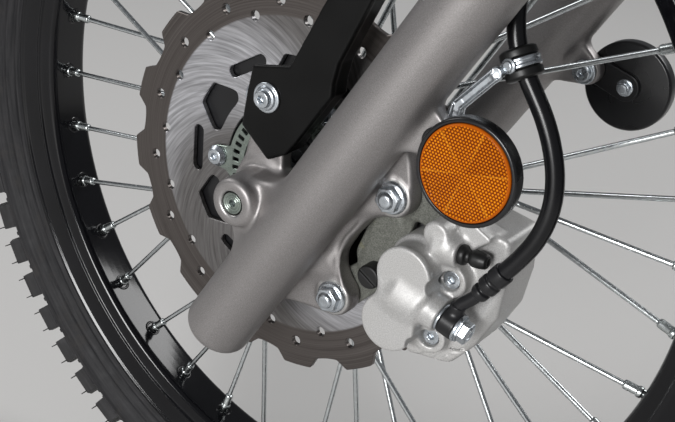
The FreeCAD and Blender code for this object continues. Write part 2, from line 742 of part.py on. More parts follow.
def tone_ring():
    ring = about_axle([(tone_inner, disc_out), (tone_outer, disc_out), (tone_outer, disc_out + ring_thick),
                       (tone_inner, disc_out + ring_thick)])
    ears = []
    holes = []
    for k in range(window_count):
        turn = disc_bolt_phase + 60 * k
        at = polar(disc_bolt_ring, turn)
        ears.append(arm(polar(42, turn), 9.0, at, 7.0, disc_out, disc_out + ring_thick))
        holes.append(cross_rod(disc_bolt_radius + axle_fit, at, disc_out - 1, disc_out + ring_thick + 1))
    body = fuse([ring] + ears)
    for k in range(tone_slots):
        slot = Part.makeBox(5.0, ring_thick + 2, 2.4, V(39.5, disc_out - 1, -1.2))
        holes.append(spun(slot, k * 360.0 / tone_slots))
    return body.cut(holes[0].multiFuse(holes[1:]))


def disc_bolts():
    out = []
    face = disc_out + ring_thick
    for k in range(window_count):
        at = polar(disc_bolt_ring, disc_bolt_phase + 60 * k)
        shank = cross_rod(disc_bolt_radius, at, 42.5, face)
        head = Part.makeCone(7.0, 4.6, 4.0, V(at[0], face, at[1]), V(0, 1, 0))
        bolt = shank.fuse(head).removeSplitter()
        out.append(bolt.cut(hex_prism(5.0, at, face + 1.4, face + 5)))
    return Part.makeCompound(out)


def axle():
    shaft = cross_rod(axle_radius, (0, 0), -boss_out_right, boss_in)
    tip = cross_rod(axle_end_radius, (0, 0), boss_in, boss_out_left - axle_end_recess)
    head = cross_rod(axle_head_radius, (0, 0), -boss_out_right - axle_head_length, -boss_out_right)
    body = fuse([shaft, tip, head])
    cuts = [hex_prism(axle_hex_across, (0, 0), boss_out_left - 12, boss_out_left),
            hex_prism(12.0, (0, 0), -boss_out_right - axle_head_length - 1, -boss_out_right - 2)]
    return body.cut(cuts[0].multiFuse(cuts[1:]))


def bearings():
    bore, shell = axle_radius + axle_fit, hub_bore_radius - 0.02
    out = []
    for y0, y1 in ((bearing_in, bearing_out), (-bearing_out, -bearing_in)):
        out.append(about_axle([(bore, y0), (shell, y0), (shell, y1), (bore, y1)]))
    return Part.makeCompound(out)


def left_spacer():
    bore, end = axle_radius + axle_fit, bearing_out + bearing_gap
    step, thin = boss_in - 8, spacer_radius
    return about_axle([(bore, end), (thin, end), (thin, step), (thin + 3, step), (thin + 3, boss_in),
                       (bore, boss_in)])


def right_spacer():
    bore, end = axle_radius + axle_fit, -bearing_out - bearing_gap
    thin = spacer_radius
    return about_axle([(bore, -boss_in), (thin + 3.5, -boss_in), (thin + 3.5, end - 6.5), (thin, end - 3.5),
                       (thin, end), (bore, end)])


# Brake

def bracket_blank(extra, y0, y1):
    """The bracket's outline, let out by extra: from each bolt to a slide pin, with a link between."""
    upper = arm(caliper_bolt_up, bracket_radius + extra, slide_pin_up, bracket_radius - 1 + extra, y0, y1)
    lower = arm(caliper_bolt_low, bracket_radius + extra, slide_pin_low, bracket_radius - 3 + extra, y0, y1)
    link = arm(caliper_bolt_up, bracket_radius + extra, slide_pin_low, bracket_radius - 2 + extra, y0, y1)
    return fuse([upper, lower, link])


def caliper_bracket():
    y0, y1 = bracket_in, bracket_in + bracket_thick
    body = bracket_blank(0.0, y0, y1)
    holes = []
    for at in (caliper_bolt_up, caliper_bolt_low):
        holes.append(cross_rod(caliper_bolt_radius + axle_fit, at, y0 - 1, y1 + 1))
    for at in (slide_pin_up, slide_pin_low):
        holes.append(cross_rod(slide_pin_radius + pin_fit, at, y0 - 1, y1 + 1))
    return body.cut(holes[0].multiFuse(holes[1:]))


def inset(corners, by):
    """The corners of an outline drawn in by the same amount all round; it runs clockwise in (x, z)."""
    out = []
    for k, (x, z) in enumerate(corners):
        (ax, az), (bx, bz) = corners[k - 1], corners[(k + 1) % len(corners)]
        u, v = V(x - ax, z - az, 0).normalize(), V(bx - x, bz - z, 0).normalize()
        nu, nv = V(-u.y, u.x, 0), V(-v.y, v.x, 0)
        shift = (nu + nv) * (by / (1 + nu.dot(nv)))
        out.append((x + shift.x, z + shift.y))
    return out


def caliper_block():
    """The part that bridges the disc: its outer edge slopes, and its foot is grooved."""
    rings = []
    for corners, y in ((caliper_outline, caliper_in), (caliper_outline, caliper_out - edge_slope),
                       (inset(caliper_outline, edge_slope), caliper_out)):
        rings.append([V(x, y, z) for x, z in corners])
    block = flat_sided(rings)
    for k in range(groove_count):
        foot = (groove_foot[0] + groove_step * k, caliper_out + 1.0, groove_foot[1] - 4.0 * k)
        block = block.cut(rod(groove_radius, foot, (foot[0] - 6, foot[1], foot[2] + 27)))
    return block


def caliper_pots():
    """Shoulders, pots and the one face plate over both, with its edge broken."""
    plate_y, top = caliper_face - face_plate_thick, caliper_face - pot_chamfer
    radius = piston_radius + pot_wall
    pieces = [arm(piston_up, waist_radius, piston_low, waist_radius, slot_out, caliper_face)]
    for at in (piston_up, piston_low):
        pieces.append(cross_rod(shoulder_radius, at, slot_out, shoulder_top))
        pieces.append(cross_rod(piston_radius, at, slot_out, plate_y))
        pieces.append(cross_rod(radius, at, plate_y, top))
        foot = V(at[0], top, at[1])
        pieces.append(Part.makeCone(radius, radius - pot_chamfer, pot_chamfer, foot, V(0, 1, 0)))
    return pieces


def caliper_body():
    way = V(*banjo_way).normalize()
    bracket_out = bracket_in + bracket_thick
    boss = cross_rod(slide_boss_radius, slide_pin_up, bracket_out + pin_fit, slide_boss_top)
    tie = rod(slide_boss_radius - 1.4, (slide_pin_up[0], 68, slide_pin_up[1]), (-122, 70, 84))
    web = side_plate(caliper_web, slot_out, slide_boss_top - 8)
    port = Part.makeCylinder(port_radius, 22, banjo_point(-22), way)
    bleed = Part.makeCylinder(bleed_boss_radius, 18, V(*bleed_seat) - way * 18, way)
    pins = [cross_rod(pin_boss_radius, at, slot_out, pin_boss_top) for at in (pad_pin_up, pad_pin_low)]
    ribs = [arm((-120, 34), 3.2, (-137, 22), 3.2, slot_out, 84),
            arm((-124, 8), 3.0, (-139, 12), 3.0, slot_out, 80)]
    body = fuse([caliper_block()] + caliper_pots() + [boss, tie, web, port, bleed] + pins + ribs)
    body = body.cut(Part.makeCylinder(banjo_bolt_radius + axle_fit, 9, banjo_point(-8.5), way))
    slot = cross_rod(slot_radius, (0, 0), slot_in, slot_out)
    cuts = [slot, bracket_blank(1.0, caliper_in - 1, bracket_out + 0.3)]
    for at in (pad_pin_up, pad_pin_low):
        cuts.append(cross_rod(pad_pin_radius + pin_fit, at, caliper_in - 1, pin_seat + 1))
        cuts.append(cross_rod(pin_head_radius + 0.3, at, pin_seat, caliper_face + 1))
    cuts.append(cross_rod(slide_pin_radius + pin_fit, slide_pin_up, bracket_in - 1, slide_boss_top - 4))
    return body.cut(cuts[0].multiFuse(cuts[1:]))


def pad_outline():
    edge, foot, middle = disc_radius - pad_inset, disc_radius - pad_inset - pad_height, 162.0
    return [polar(foot, middle - 12), polar(foot, middle) + ("via",), polar(foot, middle + 12),
            polar(edge, middle + 14), polar(edge, middle + 0.5) + ("via",), polar(edge, middle - 13)]


def brake_pad(y0):
    return side_plate(pad_outline(), y0, y0 + pad_thick)


def pad_pins():
    out = []
    for at in (pad_pin_up, pad_pin_low):
        pin = cross_rod(pad_pin_radius, at, caliper_in + 2, pin_seat)
        head = cross_rod(pin_head_radius, at, pin_seat, pin_seat + pin_head_height)
        socket = hex_prism(4.5, at, pin_seat + 1.6, pin_seat + pin_head_height + 1)
        out.append(pin.fuse(head).removeSplitter().cut(socket))
    return Part.makeCompound(out)


def slide_pins():
    upper = cross_rod(slide_pin_radius, slide_pin_up, bracket_in - 3, slide_boss_top - 5)
    lower = cross_rod(slide_pin_radius, slide_pin_low, bracket_in - 2, bracket_in + bracket_thick + 0.2)
    return Part.makeCompound([upper, lower])


def pin_cap():
    """Rubber cap with a slotted top, over the lower slide pin."""
    foot = bracket_in + bracket_thick + 0.2
    body = cross_rod(pin_cap_radius, slide_pin_low, foot, foot + pin_cap_height)
    x, z = slide_pin_low
    corner = V(x - pin_cap_radius - 1, foot + pin_cap_height - 1.4, z - 0.9)
    slot = Part.makeBox(2 * pin_cap_radius + 2, 2, 1.8, corner)
    return body.cut(slot)


def caliper_bolts():
    out = []
    face = lug_in + lug_thick
    for at in (caliper_bolt_up, caliper_bolt_low):
        shank = cross_rod(caliper_bolt_radius, at, bracket_in - 3, face)
        flange = cross_rod(10.6, at, face, face + 2)
        head = hex_prism(14.0, at, face + 2, face + 8.5, 14.0)
        out.append(shank.multiFuse([flange, head]).removeSplitter())
    return Part.makeCompound(out)


# Hose

def hose():
    """Straight runs between the points of the route, joined by tangent arcs."""
    points = [V(*p) for p in hose_route]
    edges = []
    radii = []
    at = points[0]
    for a, b, c in zip(points, points[1:], points[2:]):
        run_in, run_out = b - a, c - b
        turn = run_in.getAngle(run_out)
        reach = hose_bend_share * min(run_in.Length, run_out.Length)
        radii.append(reach / math.tan(turn / 2))
        way_in, way_out = V(run_in).normalize(), V(run_out).normalize()
        start, end = b - way_in * reach, b + way_out * reach
        inward = (way_out - way_in).normalize()
        rise = radii[-1] * (1 / math.cos(turn / 2) - 1)
        edges.append(Part.makeLine(at, start))
        edges.append(Part.Arc(start, b + inward * rise, end).toShape())
        at = end
    edges.append(Part.makeLine(at, points[-1]))
    line = Part.Wire(edges)
    ring = Part.Wire(Part.makeCircle(hose_radius, points[0], points[1] - points[0]))
    solid = line.makePipeShell([ring], True, False)
    print("hose radii", " ".join("%.0f" % r for r in radii))
    section = math.pi * hose_radius ** 2
    print("hose length %.1f, volume over section %.1f" % (line.Length, solid.Volume / section))
    return solid


def toward(start, end):
    return (V(*end) - V(*start)).normalize()


def banjo_point(distance):
    return V(*banjo_seat) + V(*banjo_way).normalize() * distance


def banjo_bolt():
    way = V(*banjo_way).normalize()
    end = 2 * washer_thick + banjo_eye_thick
    shank = Part.makeCylinder(banjo_bolt_radius, end + 8, banjo_point(-8), way)
    washers = [Part.makeCylinder(washer_radius, washer_thick, banjo_point(0), way),
               Part.makeCylinder(washer_radius, washer_thick, banjo_point(end - washer_thick), way)]
    corner = 14.0 / math.sqrt(3)
    side = V(0, 1, 0)
    lift = way.cross(side)
    base = banjo_point(end)
    ring = []
    for k in range(6):
        ring.append(base + side * corner * math.cos(deg(60 * k)) + lift * corner * math.sin(deg(60 * k)))
    head = Part.Face(Part.makePolygon(ring + [ring[0]])).extrude(way * 6.5)
    return shank.multiFuse(washers + [head]).removeSplitter()


def banjo_fitting():
    """Eye round the banjo bolt, short bent pipe and the crimped ferrule that holds the hose."""
    way = V(*banjo_way).normalize()
    eye = Part.makeCylinder(eye_radius, banjo_eye_thick, banjo_point(washer_thick), way)
    middle = banjo_point(washer_thick + banjo_eye_thick / 2)
    exit_point = V(*hose_route[0])
    along = toward(hose_route[0], hose_route[1])
    bend = exit_point - along * neck_length
    knee = middle + V(-way.z, 0, way.x) * -13
    pipe = [Part.makeCylinder(pipe_radius, 13, middle, knee - middle), Part.makeSphere(pipe_radius, knee),
            Part.makeCylinder(pipe_radius, (bend - knee).Length, knee, bend - knee),
            Part.makeSphere(pipe_radius, bend)]
    neck = Part.makeCylinder(pipe_radius, neck_length - 14, bend, along)
    ferrule = Part.makeCylinder(ferrule_radius, 16, exit_point - along * 16, along)
    body = eye.multiFuse(pipe + [neck, ferrule]).removeSplitter()
    bore = Part.makeCylinder(banjo_bolt_radius + axle_fit, banjo_eye_thick + 4, banjo_point(-0.5), way)
    return body.cut(bore)


def upper_fitting():
    """The hose's upper end: ferrule, neck and the eye for the lever's cylinder."""
    end = V(*hose_route[-1])
    along = toward(hose_route[-2], hose_route[-1])
    ferrule = Part.makeCylinder(ferrule_radius, 18, end, along)
    neck = Part.makeCylinder(pipe_radius, 14, end + along * 16, along)
    centre = end + along * 34
    half = V(banjo_eye_thick / 2, 0, 0)
    eye = Part.makeCylinder(eye_radius, banjo_eye_thick, centre - half, V(1, 0, 0))
    body = ferrule.multiFuse([neck, eye]).removeSplitter()
    start = centre - half - V(1, 0, 0)
    bore = Part.makeCylinder(banjo_bolt_radius + pin_fit, banjo_eye_thick + 2, start, V(1, 0, 0))
    return body.cut(bore)


def hose_collar(place_on_hose, radius, length, bore):
    """A ring round the hose where its route has this point; a bore of zero leaves it solid."""
    index = hose_route.index(place_on_hose)
    at = V(*place_on_hose)
    along = (V(*hose_route[index + 1]) - V(*hose_route[index - 1])).normalize()
    ring = Part.makeCylinder(radius, length, at - along * length / 2, along)
    if bore:
        ring = ring.cut(Part.makeCylinder(bore, length + 2, at - along * (length / 2 + 1), along))
    return ring


def hose_grommet():
    return hose_collar(grommet_place, grommet_radius, grommet_length, hose_radius + clip_fit)


def hose_stay():
    """Zinc strap from the reflector ear up to a band round the grommet."""
    y0, y1 = side_lug_in - 2.5, side_lug_in
    knee = (-63.5, 148.0)
    foot = arm(lug_bolt_place, 7.0, knee, 5.0, y0, y1)
    tip = (-68.5, 177.0)
    rise = arm(knee, 5.0, tip, 4.0, y0, y1)
    band = hose_collar(grommet_place, grommet_radius + 1.6, 6.0, grommet_radius + axle_fit)
    body = fuse([foot, rise]).cut(hose_collar(grommet_place, grommet_radius + 1.6, grommet_length + 4, 0))
    body = body.fuse(band).removeSplitter()
    return body.cut(cross_rod(lug_bolt_radius + axle_fit, lug_bolt_place, y0 - 1, y1 + 1))


def bleed_nipple():
    seat = V(*bleed_seat)
    way = V(*banjo_way).normalize()
    stem = Part.makeCylinder(3.0, 7, seat, way)
    cap = Part.makeCylinder(4.6, 9, seat + way * 5, way)
    return stem.fuse(cap).removeSplitter()


def clamp_clip():
    """Clip that holds the hose to the front of the lower clamp."""
    ring = hose_collar(clip_place, hose_radius + clip_wall, clip_height, 0)
    x, y, z = clip_place
    corner = V(x - clip_reach, y - clip_wall / 2, z - clip_height / 2)
    tab = Part.makeBox(clip_reach, clip_wall, clip_height, corner)
    body = ring.fuse(tab).cut(hose_collar(clip_place, hose_radius + clip_fit, clip_height + 6, 0))
    return body.cut(lower_clamp())


def lens(side):
    y0 = reflector_back + reflector_depth
    disc = cross_rod(lens_radius, reflector_place, y0, y0 + lens_proud)
    return disc if side > 0 else mirrored(disc)


def reflector_case():
    body = cross_rod(reflector_radius, reflector_place, reflector_back, reflector_back + reflector_depth)
    stud = cross_rod(stud_radius, reflector_place, reflector_back - 9, reflector_back)
    nut = hex_prism(8.0, reflector_place, reflector_back - 7, reflector_back - 3)
    return fuse([body, stud, nut])


def reflector_arm():
    y0 = side_lug_out
    body = arm(lug_bolt_place, 8.0, reflector_place, 9.0, y0, y0 + arm_thick)
    holes = [cross_rod(lug_bolt_radius + axle_fit, lug_bolt_place, y0 - 1, y0 + 5),
             cross_rod(stud_radius + pin_fit, reflector_place, y0 - 1, y0 + 5)]
    return body.cut(holes[0].multiFuse(holes[1:]))


def arm_bolt():
    seat = side_lug_in - 2.5
    shank = cross_rod(lug_bolt_radius, lug_bolt_place, seat, side_lug_out + arm_thick)
    head = cross_rod(5.6, lug_bolt_place, seat - 5, seat)
    return fuse([shank, head]).cut(hex_prism(4.5, lug_bolt_place, seat - 6, seat - 2))


def sensor_guard():
    """Flat panel over the sensor, its rear edge folded in towards the wheel."""
    panel = side_plate(guard_outline, guard_y, guard_y + guard_thick)
    fold = side_plate(guard_fold, guard_y - guard_fold_depth, guard_y + 1)
    holes = [cross_rod(guard_bolt_radius + axle_fit, at, guard_y - 1, guard_y + guard_thick + 1)
             for at in (guard_bolt, guard_bolt_top)]
    return fuse([panel, fold]).cut(holes[0].fuse(holes[1]))


def guard_fixings():
    out = []
    face = guard_y + guard_thick
    for at in (guard_bolt, guard_bolt_top):
        shank = cross_rod(guard_bolt_radius, at, guard_y - guard_ear_thick, face)
        flange = cross_rod(9.4, at, face, face + 1.6)
        head = cross_rod(5.4, at, face + 1.6, face + 6.8)
        out.append(fuse([shank, flange, head]).cut(hex_prism(5.0, at, face + 3, face + 7)))
    return Part.makeCompound(out)


os.makedirs("parts", exist_ok=True)

# Pieces of the fixed body

save("hose_clip", clamp_clip())
save("fork_slider_left", left_slider())
save("fork_slider_right", right_slider())
for name, side in (("left", 1), ("right", -1)):
    for label, shape in (("stanchion", stanchion()), ("dust_seal", dust_seal()), ("fork_cap", top_cap()),
                         ("reflector_case", reflector_case()), ("reflector_arm", reflector_arm()),
                         ("reflector_bolt", arm_bolt())):
        save("%s_%s" % (label, name), shape if side > 0 else mirrored(shape))
    save("reflector_lens_%s" % name, lens(side))
save("lower_clamp", lower_clamp())
save("upper_clamp", upper_clamp())
save("steering_stem", steering_stem())
save("stem_nut", stem_nut())
save("axle", axle())
save("wheel_spacer_left", left_spacer())
save("wheel_spacer_right", right_spacer())
save("caliper_bracket", caliper_bracket())
save("caliper_body", caliper_body())
save("brake_pad_outer", brake_pad(disc_out + pad_gap))
save("brake_pad_inner", brake_pad(disc_in - pad_gap - pad_thick))
save("pad_pins", pad_pins())
save("slide_pins", slide_pins())
save("slide_pin_cap", pin_cap())
save("caliper_bolts", caliper_bolts())
save("brake_hose", hose())
save("banjo_bolt", banjo_bolt())
save("banjo_fitting", banjo_fitting())
save("hose_upper_fitting", upper_fitting())
save("hose_grommet", hose_grommet())
save("hose_stay", hose_stay())
save("bleed_nipple", bleed_nipple())
save("sensor_guard", sensor_guard())
save("guard_bolts", guard_fixings())

# Pieces of the wheel

save("wheel_bearings", bearings())
save("tyre", tyre())
save("rim", rim())
save("spokes", spokes())
save("spoke_nipples", nipples())
save("wheel_hub", hub())
save("brake_disc", brake_disc())
save("tone_ring", tone_ring())
save("disc_bolts", disc_bolts())
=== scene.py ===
import json
import math
import bpy
import bmesh
import numpy as np
from mathutils import Matrix, Vector
from mathutils.geometry import delaunay_2d_cdt


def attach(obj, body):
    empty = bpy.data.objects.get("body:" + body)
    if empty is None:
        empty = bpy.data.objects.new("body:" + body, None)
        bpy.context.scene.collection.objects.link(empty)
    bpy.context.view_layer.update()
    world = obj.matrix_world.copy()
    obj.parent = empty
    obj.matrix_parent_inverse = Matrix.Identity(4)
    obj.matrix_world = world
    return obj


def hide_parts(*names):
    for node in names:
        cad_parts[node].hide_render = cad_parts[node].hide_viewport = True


# Front end of a dual sport motorcycle: fork, spoked wheel and disc brake.
# Shapes are given in the fork frame, in millimetres: x forward and square to the fork tubes, y to the
# rider's left, z up along the tubes, origin on the axle. in_row() takes them to the part's own frame.

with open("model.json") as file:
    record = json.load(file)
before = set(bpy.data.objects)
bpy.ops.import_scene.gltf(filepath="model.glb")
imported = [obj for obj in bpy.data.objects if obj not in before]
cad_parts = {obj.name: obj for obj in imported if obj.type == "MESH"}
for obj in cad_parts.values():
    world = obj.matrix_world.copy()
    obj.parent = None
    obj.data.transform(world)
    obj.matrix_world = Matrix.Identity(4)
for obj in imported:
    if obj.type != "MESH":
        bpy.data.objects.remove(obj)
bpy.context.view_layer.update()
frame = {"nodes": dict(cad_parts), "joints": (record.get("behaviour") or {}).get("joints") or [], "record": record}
mounts = {m["name"]: m for m in frame["record"]["mounts"]}

axle_at = np.array(frame["joints"][0]["pos_m"], float)
stem_up = np.array(mounts["steering_stem"]["axis"], float)
to_left = np.array([0.0, 1.0, 0.0])
to_front = np.cross(to_left, stem_up)
fork_axes = np.array([to_front, to_left, stem_up])


def in_row(points):
    """Points in the fork frame, in millimetres, as points in the part's frame, in metres."""
    return axle_at + np.asarray(points, float) / 1000 @ fork_axes


# Sizes, in millimetres, as the construction has them

tube_lead = 35.5            # the axle sits this far ahead of the fork tubes
tube_spread = 95.0          # middle of the wheel to the middle of a fork tube
tube_radius = 18.5
tube_foot = 72.0
tube_top = 816.0
foot_z = -97.0
slider_top = 372.0
slider_radius = 22.0
head_radius = 26.5
head_z = 308.0
axle_radius = 7.5
axle_neck_radius = 6.8
axle_end_radius = 6.9
axle_end_y = 111.2
boss_radius = 17.0
boss_in = 66.0
boss_out = {1: 112.0, -1: 106.0}
lug_out = 78.2
lug_face = 79.0             # seats of the caliper's bolts, turned flat
lug_pad_radius = 12.2
lug_opening = (-93.0, 24.0)
lug_opening_radius = 30.0
tyre_radius = 345.0
knob_count = 68
spoke_count = 36
first_nipple = -22.1        # angle of the first nipple, in degrees
spoke_lead = 60.0           # a spoke's hub end is this many degrees from its nipple
spoke_radius = 1.75
nipple_seat = 254.5
nipple_side = 1.3
hub_bore_radius = 16.0
hub_flange_y = 31.0
hub_flange_half = 2.5
hub_hole_ring = 32.0
disc_in = 50.0
disc_out = 54.0
disc_radius = 131.5
petals = 16
disc_phase = 5.4
notch_depth = 7.1
crest_half = 4.7            # half a petal's crest, in degrees
notch_half = 3.9
outer_hole_ring = 113.7
inner_hole_ring = 104.5
inner_hole_phase = 16.6
disc_hole_radius = 3.2
slot_ring = 76.5
slot_radius = 4.0
disc_bolt_count = 6
disc_bolt_ring = 57.0
disc_bolt_phase = -32.0
disc_bolt_hole_radius = 4.1
ring_thick = 2.0
ring_inner_radius = 35.5
ring_outer_radius = 47.5
tooth_count = 48
caliper_up = (-66.0, 67.5)
caliper_low = (-77.0, -17.0)
slide_up = (-101.0, 76.5)
slide_low = (-85.6, 12.4)
piston_up = (-105.0, 49.0)
piston_low = (-116.0, 17.5)
piston_radius = 17.0
pad_pin_up = (-124.0, 59.0)
pad_pin_low = (-137.6, 20.3)
pin_seat = 74.0
disc_slot = (43.5, 60.5)    # room for the disc, from the middle of the wheel
disc_slot_radius = 137.5
bracket_in = 59.5
bracket_out = 65.8
side_bolt = (-70.8, 129.5)
reflector_at = (-95.5, 136.0)
reflector_face = 113.0
strap_in = 87.5
strap_out = 90.0
guard_bolt = (29.5, 56.0)
guard_bolt_top = (4.0, 203.0)
guard_in = 84.0
guard_out = 88.0
stem_x = -63.5
lower_clamp_z = 598.0
lower_clamp_height = 36
lower_ring_radius = 27.5
upper_clamp_z = 784.0
upper_clamp_height = 26
upper_ring_radius = 26.0
fender_bolt_ring = 32
fender_hole_radius = 3.3
handlebar_side = 52
handlebar_hole_radius = 6.0
banjo_seat = np.array([-135.4, 88.0, 43.7])
banjo_way = np.array([-0.96, 0.0, 0.28])
bleed_seat = np.array([-121.5, 79.5, 79.5])
bleed_way = np.array([-0.84, 0.0, 0.54])
hose_radius = 5.25
hose_route = [(-143.2, 85.0, 94.5), (-144.6, 83.7, 112.0), (-142.0, 82.0, 129.0), (-136.0, 80.5, 143.0),
              (-126.5, 79.0, 155.0), (-114.5, 78.0, 165.0), (-101.0, 77.0, 173.0), (-87.0, 76.0, 178.6),
              (-72.0, 74.6, 184.1), (-58.6, 72.4, 192.8), (-47.7, 69.3, 204.5), (-39.9, 66.6, 218.5),
              (-35.5, 64.6, 234.9), (-34.8, 63.0, 255.0), (-35.6, 61.5, 288.0), (-35.2, 60.4, 332.0),
              (-33.0, 58.5, 385.0), (-27.5, 57.0, 440.0), (-20.5, 56.5, 495.0), (-14.5, 57.0, 550.0),
              (-11.0, 57.5, 603.0), (-11.5, 56.5, 655.0), (-14.0, 54.0, 706.0), (-16.5, 51.0, 756.0),
              (-17.0, 48.5, 800.0)]
grommet_index = 8           # the route's point that the grommet holds


def polar(radius, angle):
    return (radius * math.cos(math.radians(angle)), radius * math.sin(math.radians(angle)))


def unit(vector):
    vector = np.array(vector, float)
    return vector / np.linalg.norm(vector)


# Shader sums

class Value:
    """A shader socket that takes part in sums: each operator adds a Math node."""

    def __init__(self, finish, socket):
        self.finish = finish
        self.socket = socket

    def __add__(self, other):
        return self.finish.sum("ADD", self, other)

    def __sub__(self, other):
        return self.finish.sum("SUBTRACT", self, other)

    def __mul__(self, other):
        return self.finish.sum("MULTIPLY", self, other)

    def __truediv__(self, other):
        return self.finish.sum("DIVIDE", self, other)

    def __rsub__(self, other):
        return self.finish.sum("SUBTRACT", other, self)


class Finish:
    """One material: a Principled shader and the nodes that feed it."""

    def __init__(self, name, colour, rough, metal=0.0, **fixed):
        self.material = bpy.data.materials.new(name)
        self.material.use_nodes = True
        self.tree = self.material.node_tree
        self.shader = self.tree.nodes["Principled BSDF"]
        self.set(**{"Base Color": (*colour, 1.0), "Roughness": rough, "Metallic": metal})
        self.set(**{key.replace("_", " "): value for key, value in fixed.items()})

    def set(self, **sockets):
        for key, value in sockets.items():
            self.feed(self.shader.inputs[key], value)

    def feed(self, socket, value):
        if isinstance(value, Value):
            self.tree.links.new(value.socket, socket)
        else:
            socket.default_value = value

    def node(self, kind, settings, out=0, **sockets):
        made = self.tree.nodes.new(kind)
        for key, value in settings.items():
            setattr(made, key, value)
        for key, value in sockets.items():
            self.feed(made.inputs[int(key[1:]) if key[1:].isdigit() else key.replace("_", " ")], value)
        return Value(self, made.outputs[out])

    def sum(self, operation, first, second=0.0):
        return self.node("ShaderNodeMath", {"operation": operation}, i0=first, i1=second)

    def place(self):
        return self.node("ShaderNodeTexCoord", {}, out="Object")

    def spread(self, vector=None):
        """The three numbers of a vector, by default the point on the piece."""
        made = self.node("ShaderNodeSeparateXYZ", {}, i0=vector or self.place())
        return [Value(self, made.socket.node.outputs[k]) for k in range(3)]

    def gather(self, x, y, z):
        return self.node("ShaderNodeCombineXYZ", {}, i0=x, i1=y, i2=z)

    def noise(self, scale, detail=3.0, rough=0.5, vector=None, out="Fac"):
        return self.node("ShaderNodeTexNoise", {}, out=out, Vector=vector or self.place(), Scale=scale,
                         Detail=detail, Roughness=rough)

    def mix(self, factor, low, high):
        """Colour mix; low and high are colours or colour sockets."""
        made = self.tree.nodes.new("ShaderNodeMix")
        made.data_type = "RGBA"
        self.feed(made.inputs[0], factor)
        for socket, value in ((made.inputs[6], low), (made.inputs[7], high)):
            self.feed(socket, value if isinstance(value, Value) else (*value, 1.0))
        return Value(self, made.outputs[2])

    def step(self, value, low, high, to_low=0.0, to_high=1.0):
        """value from low to high as a number from to_low to to_high, and no further."""
        return self.node("ShaderNodeMapRange", {"clamp": True}, Value=value,
                         i1=low, i2=high, i3=to_low, i4=to_high)

    def bump(self, height, strength, distance):
        self.set(Normal=self.node("ShaderNodeBump", {}, Height=height, Strength=strength, Distance=distance))

    def sideways(self, at=(0, 0, 0)):
        """How far forward of a point and above it, in metres, by the part's own axes."""
        x, y, z = self.spread()
        centre = in_row(at)
        return x - float(centre[0]), z - float(centre[2])

    def radius_angle(self, at=(0, 0, 0)):
        """Distance from a line across the wheel, the axle's by default, and the angle about it."""
        dx, dz = self.sideways(at)
        return self.sum("SQRT", dx * dx + dz * dz), self.sum("ARCTAN2", dz, dx)

    def fraction(self, value):
        return self.sum("FRACT", value)


def fork_paint():
    """Satin grey paint with fine metal flake; the boss's end and the pads on the lugs are bare."""
    made = Finish("fork_paint", (0.29, 0.275, 0.272), 0.48, 0.85)
    flake = made.noise(2600, 2.0, 0.7)
    soft = made.noise(9, 2.0)
    tone = made.mix(made.step(flake, 0.35, 0.70), (0.235, 0.222, 0.218), (0.405, 0.387, 0.383))
    left = made.spread()[1]
    boss, angle = made.radius_angle()
    bare = made.step(left, 0.1101, 0.1106) * made.step(boss, 0.0086, 0.0098, 0.7, 0.0)
    for at in (caliper_up, caliper_low):
        lug = made.radius_angle((at[0], lug_face, at[1]))[0]
        pad = made.step(left, 0.0786, 0.0788) * made.step(left, 0.0794, 0.0796, 1.0, 0.0)
        bare = bare + made.step(lug, 0.0118, 0.0121, 1.0, 0.0) * pad
    turning = made.noise(1.0, 2.0, 0.6, made.gather(boss * 2400, angle, 0.0))
    bright = made.mix(made.step(turning, 0.3, 0.7), (0.42, 0.41, 0.40), (0.62, 0.61, 0.60))
    made.set(**{"Base Color": made.mix(bare, tone, bright), "Metallic": bare * 0.12 + 0.85,
                "Roughness": made.step(soft, 0.3, 0.7, 0.44, 0.52) - bare * 0.16})
    made.bump(flake, 0.10, 0.0002)
    return made.material


def cast_alloy():
    """Light sand-cast metal with a fine even grain."""
    made = Finish("cast_alloy", (0.50, 0.495, 0.485), 0.46, 0.35)
    grain = made.noise(1500, 3.0, 0.65)
    cloud = made.noise(35, 3.0)
    tone = made.mix(made.step(grain, 0.35, 0.68), (0.38, 0.375, 0.37), (0.60, 0.595, 0.585))
    tone = made.mix(made.step(cloud, 0.4, 0.75, 0.0, 0.25), tone, (0.42, 0.405, 0.38))
    made.set(**{"Base Color": tone, "Roughness": made.step(grain, 0.3, 0.7, 0.34, 0.5)})
    made.bump(grain, 0.35, 0.0003)
    return made.material


def shaded(colour, share):
    """The colour made darker or lighter."""
    return tuple(min(1, c * share) for c in colour)


def bright_zinc(name="bright_zinc", colour=(0.60, 0.64, 0.68)):
    made = Finish(name, colour, 0.28, 0.95)
    cloud = made.noise(220, 3.0)
    tone = made.mix(made.step(cloud, 0.35, 0.7), shaded(colour, 0.82), colour)
    made.set(**{"Base Color": tone, "Roughness": made.step(cloud, 0.3, 0.7, 0.22, 0.36)})
    made.bump(made.noise(900, 2.0), 0.06, 0.0002)
    return made.material


def plain_metal(name, colour, rough, metal=1.0, scale=400):
    made = Finish(name, colour, rough, metal)
    cloud = made.noise(scale, 3.0)
    tone = made.mix(made.step(cloud, 0.3, 0.7), shaded(colour, 0.85), shaded(colour, 1.1))
    made.set(**{"Base Color": tone, "Roughness": made.step(cloud, 0.3, 0.7, rough * 0.85, rough * 1.15)})
    return made.material


